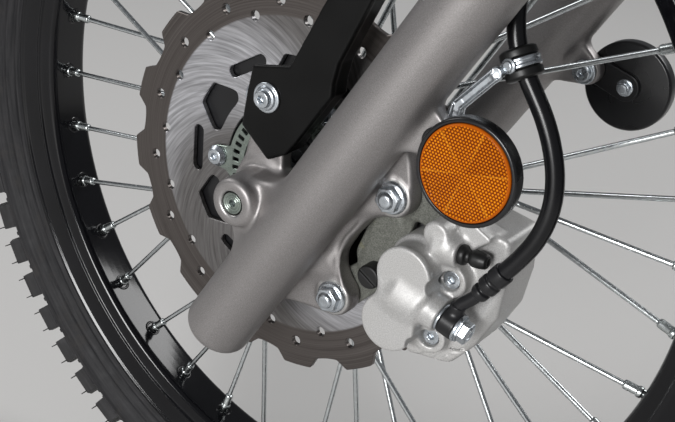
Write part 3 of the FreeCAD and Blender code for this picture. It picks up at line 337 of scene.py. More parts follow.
def black_finish(name, colour, rough, grain_scale, grain_depth, shine=0.5):
    made = Finish(name, colour, rough, 0.0, Specular_IOR_Level=shine)
    cloud = made.noise(30, 2.0)
    tone = made.mix(made.step(cloud, 0.3, 0.7), shaded(colour, 0.75), shaded(colour, 1.25))
    made.set(**{"Base Color": tone, "Roughness": made.step(cloud, 0.3, 0.7, rough * 0.9, rough * 1.1)})
    made.bump(made.noise(grain_scale, 3.0, 0.6), grain_depth, 0.0003)
    return made.material


def disc_steel():
    """Stainless disc: concentric grain on the swept band, further in cross grain with painted sheen lobes by
    angle.
    """
    made = Finish("disc_steel", (0.26, 0.24, 0.23), 0.34, 0.95)
    radius, angle = made.radius_angle()
    rings = made.noise(1.0, 3.0, 0.7, made.gather(radius * 1500, angle * 0.6, 0.0))
    # Painted reflection: bright and dark lobes by angle, twice round, stand in for the sheen of the brushed steel.
    painted_sheen_sweep = made.sum("COSINE", angle * 2 + radius * 34 - 4.2)
    streaks = made.noise(1.0, 3.0, 0.6, made.gather(angle * 30 + radius * 420, radius * 14 - angle * 2, 3.0))
    fine = made.noise(1.0, 2.0, 0.6, made.gather(angle * 220 + radius * 2600, radius * 40, 7.0))
    inner = made.step(radius, 0.1035, 0.1048, 1.0, 0.0)
    band = made.mix(made.step(rings, 0.3, 0.7), (0.085, 0.074, 0.069), (0.165, 0.148, 0.140))
    # The bright tone is the painted highlight lobe and the dull tone the painted shade lobe, both streaked with
    # grain.
    bright = made.mix(made.step(streaks, 0.35, 0.65), (0.36, 0.36, 0.38), (0.78, 0.78, 0.82))
    dull = made.mix(made.step(streaks, 0.35, 0.65), (0.10, 0.092, 0.088), (0.22, 0.21, 0.205))
    grain_and_painted_sheen = made.mix(made.step(painted_sheen_sweep, -0.35, 0.75), dull, bright)
    grain_and_painted_sheen = made.mix(made.step(fine, 0.3, 0.7, 0.0, 0.4), grain_and_painted_sheen, (0.34, 0.335, 0.34))
    made.set(**{"Base Color": made.mix(inner, band, grain_and_painted_sheen),
                "Roughness": made.step(rings, 0.3, 0.7, 0.28, 0.42)})
    made.bump(rings * (1.0 - inner) + fine * inner, 0.22, 0.0002)
    return made.material


def tyre_rubber():
    """Dull rubber: scuffed grey-brown on the tread, darker and smoother down the sidewalls."""
    made = Finish("tyre_rubber", (0.012, 0.012, 0.013), 0.60, 0.0, Specular_IOR_Level=0.25)
    grain = made.noise(1500, 2.0, 0.7)
    dust = made.noise(45, 5.0, 0.7)
    radius, angle = made.radius_angle()
    flow = made.noise(1.0, 3.0, 0.6, made.gather(radius * 500, angle * 7, 2.0))
    tread = made.step(radius, 0.318, 0.345)
    side = made.mix(made.step(flow, 0.35, 0.7), (0.009, 0.009, 0.0105), (0.030, 0.029, 0.031))
    top = made.mix(made.step(dust, 0.35, 0.7), (0.013, 0.0125, 0.0125), (0.046, 0.042, 0.039))
    tone = made.mix(tread, side, top)
    tone = made.mix(made.step(dust, 0.55, 0.8, 0.0, 0.4), tone, (0.070, 0.062, 0.055))
    made.set(**{"Base Color": tone, "Roughness": made.step(dust, 0.3, 0.7, 0.48, 0.70)})
    made.bump(grain + flow * 0.6, 0.35, 0.0003)
    return made.material


def bracket_steel():
    made = Finish("bracket_steel", (0.13, 0.133, 0.117), 0.55, 0.35)
    grain = made.noise(1300, 3.0, 0.7)
    cloud = made.noise(55, 4.0, 0.6)
    tone = made.mix(made.step(grain, 0.35, 0.68), (0.08, 0.083, 0.071), (0.20, 0.203, 0.18))
    tone = made.mix(made.step(cloud, 0.62, 0.74, 0.0, 0.5), tone, (0.27, 0.25, 0.10))
    made.set(**{"Base Color": tone})
    made.bump(grain, 0.4, 0.0003)
    return made.material


def amber_lens():
    """Clear amber over six sectors of prisms: dots with painted highlights at their centres on a deeper ground,
    each sector painted lighter or darker as its prisms meet the light, and painted highlights along the seams.
    """
    made = Finish("amber_lens", (0.70, 0.20, 0.01), 0.22, 0.0, Specular_IOR_Level=0.05, Coat_Weight=0.06,
                  Coat_Roughness=0.06)
    middle = (reflector_at[0], reflector_face, reflector_at[1])
    rows_per_metre = 520.0
    dx, dz = made.sideways(middle)
    across, up = dx * rows_per_metre, dz * rows_per_metre
    root = math.sqrt(3)
    near = []
    for shift in (0.0, 0.5):
        a = made.fraction(across + (8.0 + shift)) - 0.5
        b = (made.fraction(up / root + (8.0 + shift)) - 0.5) * root
        near.append(a * a + b * b)
    dot = made.sum("MINIMUM", *near)
    radius, angle = made.radius_angle(middle)
    sixths = angle * (3 / math.pi) + 6.25
    painted_seam_highlight = made.sum("ABSOLUTE", made.fraction(sixths) - 0.5)
    # Painted light: each sector takes its own share of the shaded tone, as if its prisms were turned to the light
    # or away.
    turn = made.fraction(made.sum("FLOOR", sixths) * 0.37)
    sparkle = made.noise(420, 2.0, 0.6)
    # Painted highlights: each dot is bright at its centre and darker towards its edge, in a lit tone and a shaded
    # tone.
    painted_lit_sector = made.mix(made.step(dot, 0.03, 0.15), (0.80, 0.26, 0.005), (0.20, 0.030, 0.0))
    painted_shaded_sector = made.mix(made.step(dot, 0.03, 0.14), (0.54, 0.14, 0.003), (0.12, 0.017, 0.0))
    depth = made.step(turn, 0.0, 1.0, 0.0, 0.55) + made.step(sparkle, 0.45, 0.75, 0.0, 0.35)
    tone = made.mix(depth, painted_lit_sector, painted_shaded_sector)
    # Painted highlight along the seams between the sectors.
    tone = made.mix(made.step(painted_seam_highlight, 0.465, 0.5, 0.0, 0.35), tone, (0.90, 0.36, 0.02))
    rim = made.step(radius, 0.0252, 0.0262)
    made.set(**{"Base Color": made.mix(rim, tone, (0.45, 0.095, 0.004))})
    made.bump(made.step(dot, 0.0, 0.25, 1.0, 0.0) * (1.0 - rim), 0.5, 0.0004)
    return made.material


finishes = {
    "fork_paint": fork_paint(),
    "cast_alloy": cast_alloy(),
    "zinc": bright_zinc(),
    "spoke_steel": plain_metal("spoke_steel", (0.62, 0.65, 0.66), 0.24),
    "nipple_steel": plain_metal("nipple_steel", (0.55, 0.58, 0.58), 0.26),
    "chrome": plain_metal("hard_chrome", (0.72, 0.72, 0.73), 0.08, scale=60),
    "machined": plain_metal("machined_alloy", (0.66, 0.65, 0.63), 0.28),
    "disc_steel": disc_steel(),
    "tone_zinc": bright_zinc("tone_zinc", (0.30, 0.345, 0.31)),
    "tyre_rubber": tyre_rubber(),
    "rim_black": black_finish("rim_black", (0.003, 0.003, 0.004), 0.12, 300, 0.015, 0.35),
    "guard_black": black_finish("guard_black", (0.005, 0.005, 0.005), 0.30, 900, 0.06, 0.14),
    "black_steel": black_finish("black_steel", (0.008, 0.008, 0.009), 0.34, 900, 0.12, 0.4),
    "soft_rubber": black_finish("soft_rubber", (0.008, 0.008, 0.008), 0.42, 1200, 0.15, 0.4),
    "hose_rubber": black_finish("hose_rubber", (0.005, 0.005, 0.006), 0.26, 500, 0.05, 0.35),
    "case_plastic": black_finish("case_plastic", (0.008, 0.008, 0.009), 0.28, 900, 0.05, 0.5),
    "clamp_paint": black_finish("clamp_paint", (0.03, 0.03, 0.03), 0.38, 1000, 0.10),
    "hub_alloy": plain_metal("hub_alloy", (0.12, 0.12, 0.12), 0.40, 0.7),
    "bracket_steel": bracket_steel(),
    "amber": amber_lens(),
    "pad_plate": plain_metal("pad_plate", (0.10, 0.09, 0.08), 0.55, 0.6),
}

node_finish = {
    "tyre": "tyre_rubber", "rim": "rim_black", "spokes": "spoke_steel", "spoke_nipples": "spoke_steel",
    "wheel_hub": "hub_alloy", "brake_disc": "disc_steel", "tone_ring": "tone_zinc", "disc_bolts": "zinc",
    "wheel_bearings": "chrome", "fork_slider": "fork_paint", "stanchion": "chrome",
    "dust_seal": "soft_rubber", "fork_cap": "zinc", "reflector_case": "case_plastic",
    "reflector_arm": "black_steel",
    "reflector_bolt": "zinc", "reflector_lens": "amber", "lower_clamp": "clamp_paint",
    "upper_clamp": "clamp_paint", "steering_stem": "machined", "stem_nut": "zinc", "axle": "zinc",
    "wheel_spacer": "zinc", "caliper_bracket": "bracket_steel", "caliper_body": "cast_alloy",
    "brake_pad": "pad_plate", "pad_pins": "zinc", "slide_pins": "zinc", "slide_pin_cap": "soft_rubber",
    "caliper_bolts": "zinc", "brake_hose": "hose_rubber", "banjo_bolt": "black_steel",
    "banjo_fitting": "black_steel", "hose_upper_fitting": "black_steel", "hose_grommet": "soft_rubber",
    "hose_stay": "zinc", "hose_clip": "black_steel", "bleed_nipple": "soft_rubber",
    "sensor_guard": "guard_black", "guard_bolts": "zinc",
}


def dress_nodes():
    """Every CAD node gets its finish; those that a finer piece stands for are hidden later."""
    for name, made in frame["nodes"].items():
        key = max((k for k in node_finish if name.startswith(k)), key=len)
        made.data.materials.clear()
        made.data.materials.append(finishes[node_finish[key]])


dress_nodes()

# Solids by distance: a form's function is negative inside it, so castings get true fillets

class Form:
    def __init__(self, distance, low, high):
        self.distance = distance
        self.low = np.array(low, float)
        self.high = np.array(high, float)

    def __add__(self, other):
        return self.melt(other, 0.0)

    def melt(self, other, fillet):
        """Both forms as one, with a fillet where they meet."""
        def distance(p):
            a, b = self.distance(p), other.distance(p)
            if fillet == 0:
                return np.minimum(a, b)
            near = np.maximum(fillet - np.abs(a - b), 0) / fillet
            return np.minimum(a, b) - near * near * fillet / 4
        return Form(distance, np.minimum(self.low, other.low), np.maximum(self.high, other.high))

    def cut(self, other, fillet=0.6):
        """This form without the other, with its new edges broken."""
        def distance(p):
            a, b = self.distance(p), -other.distance(p)
            near = np.maximum(fillet - np.abs(a - b), 0) / fillet
            return np.maximum(a, b) + near * near * fillet / 4
        return Form(distance, self.low, self.high)

    def within(self, other):
        """Only what both forms hold."""
        return Form(lambda p: np.maximum(self.distance(p), other.distance(p)), self.low, self.high)

    def across(self):
        """The same form on the other side of the wheel."""
        flip = np.array([1.0, -1.0, 1.0])
        return Form(lambda p: self.distance(p * flip), (self.low[0], -self.high[1], self.low[2]),
                    (self.high[0], -self.low[1], self.high[2]))


def capped(flat, deep, edge):
    """Distance to a flat outline pushed through a depth, its rim rounded; both distances are given."""
    u, v = flat + edge, deep + edge
    return np.minimum(np.maximum(u, v), 0) + np.hypot(np.maximum(u, 0), np.maximum(v, 0)) - edge


def rod(start, end, radius, edge=0.6, end_radius=None):
    """A round bar, or a cone if its far end has another radius."""
    start, end = np.array(start, float), np.array(end, float)
    length = np.linalg.norm(end - start)
    way = (end - start) / length
    far = radius if end_radius is None else end_radius
    slope = (far - radius) / length
    lean = 1 / math.sqrt(1 + slope * slope)

    def distance(p):
        off = p - start
        along = off @ way
        out = np.sqrt(np.maximum((off * off).sum(1) - along * along, 0))
        return capped((out - radius - slope * along) * lean, np.abs(along - length / 2) - length / 2, edge)
    reach = max(radius, far)
    return Form(distance, np.minimum(start, end) - reach, np.maximum(start, end) + reach)


def cross_rod(at, y0, y1, radius, edge=0.6, end_radius=None):
    return rod((at[0], y0, at[1]), (at[0], y1, at[1]), radius, edge, end_radius)


def ball(centre, radius):
    centre = np.array(centre, float)
    return Form(lambda p: np.linalg.norm(p - centre, axis=1) - radius, centre - radius, centre + radius)


def arm(a, ra, b, rb, y0, y1, edge=1.0):
    """A flat bar across the wheel's side with two round ends of their own size."""
    a, b = np.array(a, float), np.array(b, float)
    length = np.linalg.norm(b - a)
    way = (b - a) / length
    lean = (ra - rb) / length
    rise = math.sqrt(1 - lean * lean)

    def distance(p):
        off = p[:, (0, 2)] - a
        side = np.abs(off[:, 0] * way[1] - off[:, 1] * way[0])
        along = off @ way
        share = along * rise - side * lean
        flat = np.where(share < 0, np.hypot(side, along) - ra,
                        np.where(share > rise * length, np.hypot(side, along - length) - rb,
                                 side * rise + along * lean - ra))
        return capped(flat, np.abs(p[:, 1] - (y0 + y1) / 2) - (y1 - y0) / 2, edge)
    low = np.minimum(a - ra, b - rb)
    high = np.maximum(a + ra, b + rb)
    return Form(distance, (low[0], y0, low[1]), (high[0], y1, high[1]))


def outline_distance(p, corners):
    """Distance of flat points to a closed outline of straight lines, negative inside."""
    best = np.full(len(p), np.inf)
    inside = np.zeros(len(p), bool)
    for a, b in zip(corners, np.roll(corners, -1, axis=0)):
        run = b - a
        off = p - a
        share = np.clip(off @ run / (run @ run), 0, 1)
        gap = off - share[:, None] * run
        best = np.minimum(best, (gap * gap).sum(1))
        if a[1] != b[1]:
            crosses = (a[1] > p[:, 1]) != (b[1] > p[:, 1])
            inside ^= crosses & (p[:, 0] < a[0] + run[0] * (p[:, 1] - a[1]) / run[1])
    return np.where(inside, -1, 1) * np.sqrt(best)


def drawn_in(corners, by):
    """The outline moved inwards, so that a rounding of the same size brings it back out."""
    corners = np.array(corners, float)
    before, after = np.roll(corners, 1, axis=0), np.roll(corners, -1, axis=0)
    area = (corners[:, 0] * after[:, 1] - after[:, 0] * corners[:, 1]).sum()
    inward = 1 if area > 0 else -1
    u = (corners - before) / np.linalg.norm(corners - before, axis=1)[:, None]
    v = (after - corners) / np.linalg.norm(after - corners, axis=1)[:, None]
    nu, nv = inward * np.stack([-u[:, 1], u[:, 0]], 1), inward * np.stack([-v[:, 1], v[:, 0]], 1)
    return corners + (nu + nv) * (by / (1 + (nu * nv).sum(1)))[:, None]


def plate(corners, y0, y1, corner=3.0, edge=1.0):
    """A plate across the wheel's side with an outline of (x, z) corners, each rounded."""
    drawn = drawn_in(corners, corner)

    def distance(p):
        flat = outline_distance(p[:, (0, 2)], drawn) - corner
        return capped(flat, np.abs(p[:, 1] - (y0 + y1) / 2) - (y1 - y0) / 2, edge)
    low, high = np.min(corners, 0), np.max(corners, 0)
    return Form(distance, (low[0], y0, low[1]), (high[0], y1, high[1]))


def shelf(corners, z0, z1, corner=3.0, edge=1.0):
    """A plate square to the fork tubes with an outline of (x, y) corners, each rounded."""
    drawn = drawn_in(corners, corner)

    def distance(p):
        flat = outline_distance(p[:, (0, 1)], drawn) - corner
        return capped(flat, np.abs(p[:, 2] - (z0 + z1) / 2) - (z1 - z0) / 2, edge)
    low, high = np.min(corners, 0), np.max(corners, 0)
    return Form(distance, (*low, z0), (*high, z1))


def turned(profile, start, end, corner=0.6):
    """A solid of revolution about the line from start to end; the profile is (radius, height) corners."""
    start, way = np.array(start, float), unit(np.subtract(end, start))
    drawn = drawn_in(profile, corner)

    def distance(p):
        off = p - start
        along = off @ way
        out = np.sqrt(np.maximum((off * off).sum(1) - along * along, 0))
        return outline_distance(np.stack([out, along], 1), drawn) - corner
    reach = max(r for r, h in profile)
    ends = [start + way * h for h in (min(h for r, h in profile), max(h for r, h in profile))]
    return Form(distance, np.minimum(*ends) - reach, np.maximum(*ends) + reach)


def across_turned(profile, at=(0, 0), corner=0.6):
    """A solid of revolution about a line across the wheel at (x, z); the profile is (radius, y)."""
    return turned(profile, (at[0], 0, at[1]), (at[0], 1, at[1]), corner)


def slant(point, normal):
    """All that lies on one side of a plane, for cutting facets."""
    point, normal, far = np.array(point, float), unit(normal), 500
    return Form(lambda p: -((p - point) @ normal), point - far, point + far)


corner_steps = np.array([(i, j, k) for i in (0, 1) for j in (0, 1) for k in (0, 1)])
cell_edges = [(a, b) for a in range(8) for b in range(a + 1, 8)
              if np.abs(corner_steps[a] - corner_steps[b]).sum() == 1]
block = 4


def sample(form, step):
    """The form's distance on a grid, worked out only where its surface may pass."""
    low = form.low - 2 * step
    count = np.ceil((form.high - low + 2 * step) / (step * block)).astype(int)
    middles = np.stack(np.meshgrid(*[np.arange(n) for n in count], indexing="ij"), -1).reshape(-1, 3)
    far = form.distance(low + (middles + 0.5) * step * block)
    near = np.abs(far) < step * block * 0.9
    field = np.repeat(np.repeat(np.repeat(far.reshape(count), block, 0), block, 1), block, 2)
    inner = np.stack(np.meshgrid(*[np.arange(-1, block + 1)] * 3, indexing="ij"), -1).reshape(-1, 3)
    points = (middles[near][:, None] * block + inner[None]).reshape(-1, 3)
    points = points[((points >= 0) & (points < count * block)).all(1)]
    flat = np.unique(np.ravel_multi_index(points.T, field.shape))
    points = np.stack(np.unravel_index(flat, field.shape), 1)
    field.reshape(-1)[flat] = form.distance(low + points * step)
    return field, low


def settle(form, points, step, rounds=3):
    """Moves points onto the form's surface."""
    tiny = step * 0.05
    for _ in range(rounds):
        slope = np.stack([form.distance(points + tiny * axis) - form.distance(points - tiny * axis)
                          for axis in np.eye(3)], 1) / (2 * tiny)
        size = np.maximum((slope * slope).sum(1), 0.25)
        move = slope * (form.distance(points) / size)[:, None]
        length = np.linalg.norm(move, axis=1)[:, None]
        points = points - move * np.minimum(1, 0.5 * step / np.maximum(length, 1e-9))
    return points


def skin(form, step):
    """Corners and four-sided faces of the form's surface."""
    field, low = sample(form, step)
    inside = field < 0
    cells = tuple(n - 1 for n in field.shape)
    full = np.zeros(cells, int)
    for i, j, k in corner_steps:
        full += inside[i:i + cells[0], j:j + cells[1], k:k + cells[2]]
    at = np.argwhere((full > 0) & (full < 8))
    total, hits = np.zeros((len(at), 3)), np.zeros((len(at), 1))
    for a, b in cell_edges:
        da, db = (field[tuple((at + corner_steps[c]).T)] for c in (a, b))
        crosses = (da < 0) != (db < 0)
        share = np.where(crosses, da / np.where(crosses, da - db, 1), 0)[:, None]
        total += crosses[:, None] * (at + corner_steps[a] + share * (corner_steps[b] - corner_steps[a]))
        hits += crosses[:, None]
    number = np.full(cells, -1)
    number[tuple(at.T)] = np.arange(len(at))
    faces = []
    for axis in range(3):
        here = [slice(1, cells[d]) if d != axis else slice(0, cells[d]) for d in range(3)]
        there = [slice(s.start + (d == axis), s.stop + (d == axis)) for d, s in enumerate(here)]
        start, end = inside[tuple(here)], inside[tuple(there)]
        crossing = np.argwhere(start != end) + [0 if d == axis else 1 for d in range(3)]
        goes_out = inside[tuple(crossing.T)]
        u, v = np.eye(3, dtype=int)[(axis + 1) % 3], np.eye(3, dtype=int)[(axis + 2) % 3]
        ring = [number[tuple((crossing - shift).T)] for shift in (u + v, v, 0 * u, u)]
        quads = np.stack(ring, 1)
        faces.append(np.where(goes_out[:, None], quads, quads[:, ::-1]))
    return settle(form, low + total / hits * step, step), np.concatenate(faces)


# Meshes: a piece is made from points in the fork frame

def new_mesh(name, points, faces):
    data = bpy.data.meshes.new(name)
    data.from_pydata(in_row(points).tolist(), [], [tuple(int(n) for n in face) for face in faces])
    return data


def add_piece(name, points, faces, finish, body, slot, *stands_for, sharp=None):
    """A new object that rides on a body and stands for the named nodes; its slot is not used."""
    return add_mesh(name, new_mesh(name, points, faces), finish, body, slot, *stands_for, sharp=sharp)


def add_mesh(name, data, finish, body, slot, *stands_for, sharp=None):
    data.polygons.foreach_set("use_smooth", np.ones(len(data.polygons), bool))
    if sharp is not None:
        data.set_sharp_from_angle(angle=math.radians(sharp))
    data.materials.clear()
    data.materials.append(finishes[finish])
    made = bpy.data.objects.new(name, data)
    bpy.context.scene.collection.objects.link(made)
    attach(made, body)
    if stands_for:
        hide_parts(*stands_for)
    return made


def joined(*pairs):
    """Several (points, faces) as one."""
    points, faces, start = [], [], 0
    for some, shape in pairs:
        points.append(np.asarray(some, float))
        faces += [[int(n) + start for n in face] for face in shape]
        start += len(some)
    return np.concatenate(points), faces


def eased(line, reach, steps=3, closed=False):
    """A line of points with its corners rounded; reach is how far from a corner the rounding starts."""
    line = [np.array(p, float) for p in line]
    count = len(line)
    out = []
    for k, corner in enumerate(line):
        if not closed and k in (0, count - 1):
            out.append(corner)
            continue
        before, after = line[k - 1] - corner, line[(k + 1) % count] - corner
        near, far = np.linalg.norm(before), np.linalg.norm(after)
        cut = min(reach, 0.45 * near, 0.45 * far)
        start, end = corner + before / near * cut, corner + after / far * cut
        for t in np.linspace(0, 1, steps + 1):
            out.append((1 - t) ** 2 * start + 2 * t * (1 - t) * corner + t * t * end)
    return np.array(out)


def ring_about(way, side, count):
    """Directions square to a line all round it, from one side on."""
    angles = 2 * math.pi * np.arange(count) / count
    return np.outer(np.cos(angles), side) + np.outer(np.sin(angles), np.cross(way, side))


def belt(low, high):
    """Four-sided faces between two closed rows of corners."""
    return [list(f) for f in zip(low, np.roll(low, -1), np.roll(high, -1), high)]


def lathe(profile, start, end, segments=96, closed=False):
    """A profile of (radius, height) turned about the line from start to end; a radius of 0 is a pole."""
    profile = np.array(profile, float)
    start, way = np.array(start, float), unit(np.subtract(end, start))
    side = unit(np.cross(way, (0.0, 0.0, 1.0) if abs(way[2]) < 0.9 else (1.0, 0.0, 0.0)))
    ring = ring_about(way, side, segments)
    points, rows = [], []
    for radius, height in profile:
        if radius < 1e-6:
            rows.append(np.full(segments, len(points)))
            points.append(start + way * height)
        else:
            rows.append(len(points) + np.arange(segments))
            points.extend(start + way * height + radius * ring)
    turn = profile if closed else np.concatenate([profile, [(0, profile[-1][1]), (0, profile[0][1])]])
    after = np.roll(turn, -1, axis=0)
    outward = (turn[:, 0] * after[:, 1] - after[:, 0] * turn[:, 1]).sum() > 0
    faces = []
    for low, high in zip(rows, rows[1:] + (rows[:1] if closed else [])):
        for face in belt(low, high):
            faces.append(list(dict.fromkeys(face if outward else face[::-1])))
    return np.array(points), faces


def across_lathe(profile, at=(0, 0), segments=96, closed=False):
    """A profile of (radius, y) turned about a line across the wheel at (x, z)."""
    return lathe(profile, (at[0], 0, at[1]), (at[0], 1, at[1]), segments, closed)


def up_lathe(profile, at, segments=96, closed=False):
    """A profile of (radius, z) turned about a line along the tubes at (x, y)."""
    return lathe(profile, (at[0], at[1], 0), (at[0], at[1], 1), segments, closed)


def tube(path, radii, sides=12):
    """A round bar along a path of points; its ends are closed."""
    path = np.array(path, float)
    radii = np.broadcast_to(radii, len(path))
    ways = np.gradient(path, axis=0)
    ways /= np.linalg.norm(ways, axis=1)[:, None]
    side = np.cross(ways[0], (0.31, 0.59, 0.74))
    points, faces = [], []
    for at, way, radius in zip(path, ways, radii):
        side = side - way * (side @ way)
        side /= np.linalg.norm(side)
        points.extend(at + radius * ring_about(way, side, sides))
    for k in range(len(path) - 1):
        faces += belt(k * sides + np.arange(sides), (k + 1) * sides + np.arange(sides))
    faces.append(list(range(sides))[::-1])
    faces.append([(len(path) - 1) * sides + k for k in range(sides)])
    return np.array(points), faces


def stamped(outline, holes, y0, y1, edge=0.3):
    """A flat plate across the wheel with holes; all its edges are broken."""
    loops = [np.array(outline, float)] + [np.array(h, float) for h in holes]
    drawn = [drawn_in(loop, edge if k == 0 else -edge) for k, loop in enumerate(loops)]
    flat = [Vector(p) for loop in drawn for p in loop]
    edges, start = [], 0
    for loop in drawn:
        edges += [(start + k, start + (k + 1) % len(loop)) for k in range(len(loop))]
        start += len(loop)
    spots, _, shapes = delaunay_2d_cdt(flat, edges, [], 0, 1e-7)[:3]
    spots = np.array([tuple(s) for s in spots])
    shapes = np.array(shapes)
    middles = spots[shapes].mean(1)
    depth = sum((outline_distance(middles, loop) < 0).astype(int) for loop in drawn)
    shapes = shapes[depth % 2 == 1]
    caps = []
    for y, ring in ((y0, shapes), (y1, shapes[:, ::-1])):
        caps.append((np.stack([spots[:, 0], np.full(len(spots), y), spots[:, 1]], 1), ring))
    walls = []
    for loop, inner in zip(loops, drawn):
        rings = [(inner, y0), (loop, y0 + edge), (loop, y1 - edge), (inner, y1)]
        points = np.concatenate([np.stack([r[:, 0], np.full(len(r), y), r[:, 1]], 1) for r, y in rings])
        count = len(loop)
        faces = []
        for k in range(len(rings) - 1):
            faces += belt(k * count + np.arange(count), (k + 1) * count + np.arange(count))
        walls.append((points, faces))
    return joined(*caps, *walls)


def welded(data):
    """Doubles merged and every face turned outwards."""
    shape = bmesh.new()
    shape.from_mesh(data)
    bmesh.ops.remove_doubles(shape, verts=shape.verts, dist=2e-6)
    bmesh.ops.recalc_face_normals(shape, faces=shape.faces)
    shape.to_mesh(data)
    shape.free()
    return data


def circle(at, radius, steps=32, start=0.0, end=360.0):
    angles = np.linspace(start, end, steps, endpoint=end - start < 360)
    return [tuple(np.add(at, polar(radius, a))) for a in angles]


def round_slot(a, b, radius, steps=10):
    """Outline of a slot with round ends at a and b."""
    along = math.degrees(math.atan2(b[1] - a[1], b[0] - a[0]))
    near = circle(a, radius, steps, along + 90, along + 270)
    return near + circle(b, radius, steps, along - 90, along + 90)


# Copies round the axle, by Geometry Nodes

def ring_tree():
    """Copies of a mesh turned about the axle, with named inputs for their number and spacing."""
    tree = bpy.data.node_groups.new("copies_round_axle", "GeometryNodeTree")
    for name, kind in (("Template", "Geometry"), ("Count", "Int"), ("Spacing", "Float"), ("Axle", "Vector"),
                       ("Finish", "Material")):
        tree.interface.new_socket(name, in_out="INPUT", socket_type="NodeSocket" + kind)
    tree.interface.new_socket("Copies", in_out="OUTPUT", socket_type="NodeSocketGeometry")

    def node(kind, **settings):
        made = tree.nodes.new(kind)
        for key, value in settings.items():
            setattr(made, key, value)
        return made
    given, result = node("NodeGroupInput"), node("NodeGroupOutput")
    row, order = node("GeometryNodeMeshLine"), node("GeometryNodeInputIndex")
    angle = node("ShaderNodeMath", operation="MULTIPLY")
    swing = node("ShaderNodeVectorRotate", rotation_type="AXIS_ANGLE")
    seat, turn = node("GeometryNodeSetPosition"), node("ShaderNodeCombineXYZ")
    copies, real, dress = (node("GeometryNodeInstanceOnPoints"), node("GeometryNodeRealizeInstances"),
                           node("GeometryNodeSetMaterial"))
    row.inputs["Offset"].default_value = (0, 0, 0)
    swing.inputs["Vector"].default_value = (0, 0, 0)
    swing.inputs["Axis"].default_value = (0, 1, 0)
    for start, end in ((given.outputs["Count"], row.inputs["Count"]), (order.outputs[0], angle.inputs[0]),
                       (given.outputs["Spacing"], angle.inputs[1]),
                       (given.outputs["Axle"], swing.inputs["Center"]),
                       (angle.outputs[0], swing.inputs["Angle"]), (row.outputs[0], seat.inputs["Geometry"]),
                       (swing.outputs[0], seat.inputs["Position"]), (angle.outputs[0], turn.inputs["Y"]),
                       (seat.outputs[0], copies.inputs["Points"]),
                       (given.outputs["Template"], copies.inputs["Instance"]),
                       (turn.outputs[0], copies.inputs["Rotation"]), (copies.outputs[0], real.inputs[0]),
                       (real.outputs[0], dress.inputs["Geometry"]),
                       (given.outputs["Finish"], dress.inputs["Material"]),
                       (dress.outputs[0], result.inputs[0])):
        tree.links.new(start, end)
    return tree


copies_round_axle = ring_tree()


def add_ring(name, template, count, finish, slot, *stands_for, sharp=35, spacing=None):
    """Copies of (points, faces) round the axle as one piece of the wheel."""
    holder = bpy.data.objects.new(name + "_template", new_mesh(name, *template))
    bpy.context.scene.collection.objects.link(holder)
    modifier = holder.modifiers.new("copies", "NODES")
    modifier.node_group = copies_round_axle
    named = {s.name: s.identifier for s in copies_round_axle.interface.items_tree if s.in_out == "INPUT"}
    modifier[named["Count"]] = count
    modifier[named["Spacing"]] = -2 * math.pi / count if spacing is None else spacing
    modifier[named["Axle"]] = tuple(float(c) for c in axle_at)
    modifier[named["Finish"]] = finishes[finish]
    add_mesh(name, taken_from(holder), finish, "wheel", slot, *stands_for, sharp=sharp)


def taken_from(holder):
    """The mesh that an object's curve or modifiers make; the object itself goes."""
    bpy.context.view_layer.update()
    result = bpy.data.meshes.new_from_object(holder.evaluated_get(bpy.context.evaluated_depsgraph_get()))
    bpy.data.objects.remove(holder)
    return result


def add_form(name, form, step, finish, body, slot, *stands_for):
    """The skin of a form as a piece; step is the size of its faces."""
    add_piece(name, *skin(form, step), finish, body, slot, *stands_for)


def add_stamped(name, outline, holes, y0, y1, edge, finish, slot, node):
    """A stamped plate of the wheel, with its flat sides and walls welded."""
    data = welded(new_mesh(name, *stamped(outline, holes, y0, y1, edge)))
    add_mesh(name, data, finish, "wheel", slot, node, sharp=25)


# Fork legs

leg = np.array([-tube_lead, tube_spread])


def leg_rod(z0, z1, radius, edge=0.6):
    return rod((*leg, z0), (*leg, z1), radius, edge)


def slider_form(out):
    """The outer tube with its flared head, the axle's boss and collar, and the reflector's ear."""
    body = leg_rod(foot_z, head_z - 6, slider_radius, 7.0)
    body = body.melt(leg_rod(head_z - 14, slider_top, head_radius, 1.4), 16)
    neck = plate([(4, boss_radius - 0.8), (-tube_lead, 43), (-tube_lead, -39), (4, 0.8 - boss_radius)],
                 boss_in + 9, 103, 2.0, 4.0)
    body = body.melt(neck, 10)
    body = body.melt(cross_rod((0, 0), boss_in + 8, out, boss_radius, 3.4, boss_radius - 1.6), 5)
    collar = cross_rod((0, 0), boss_in + 4, 84, 20.5, 0.9) + cross_rod((0, 0), boss_in, 80, boss_radius, 0.9)
    body = body.melt(collar, 1.5)
    return body.melt(arm(side_bolt, 9.5, (-tube_lead - 8, side_bolt[1] - 6), 21, 90, 100, 1.6), 5)


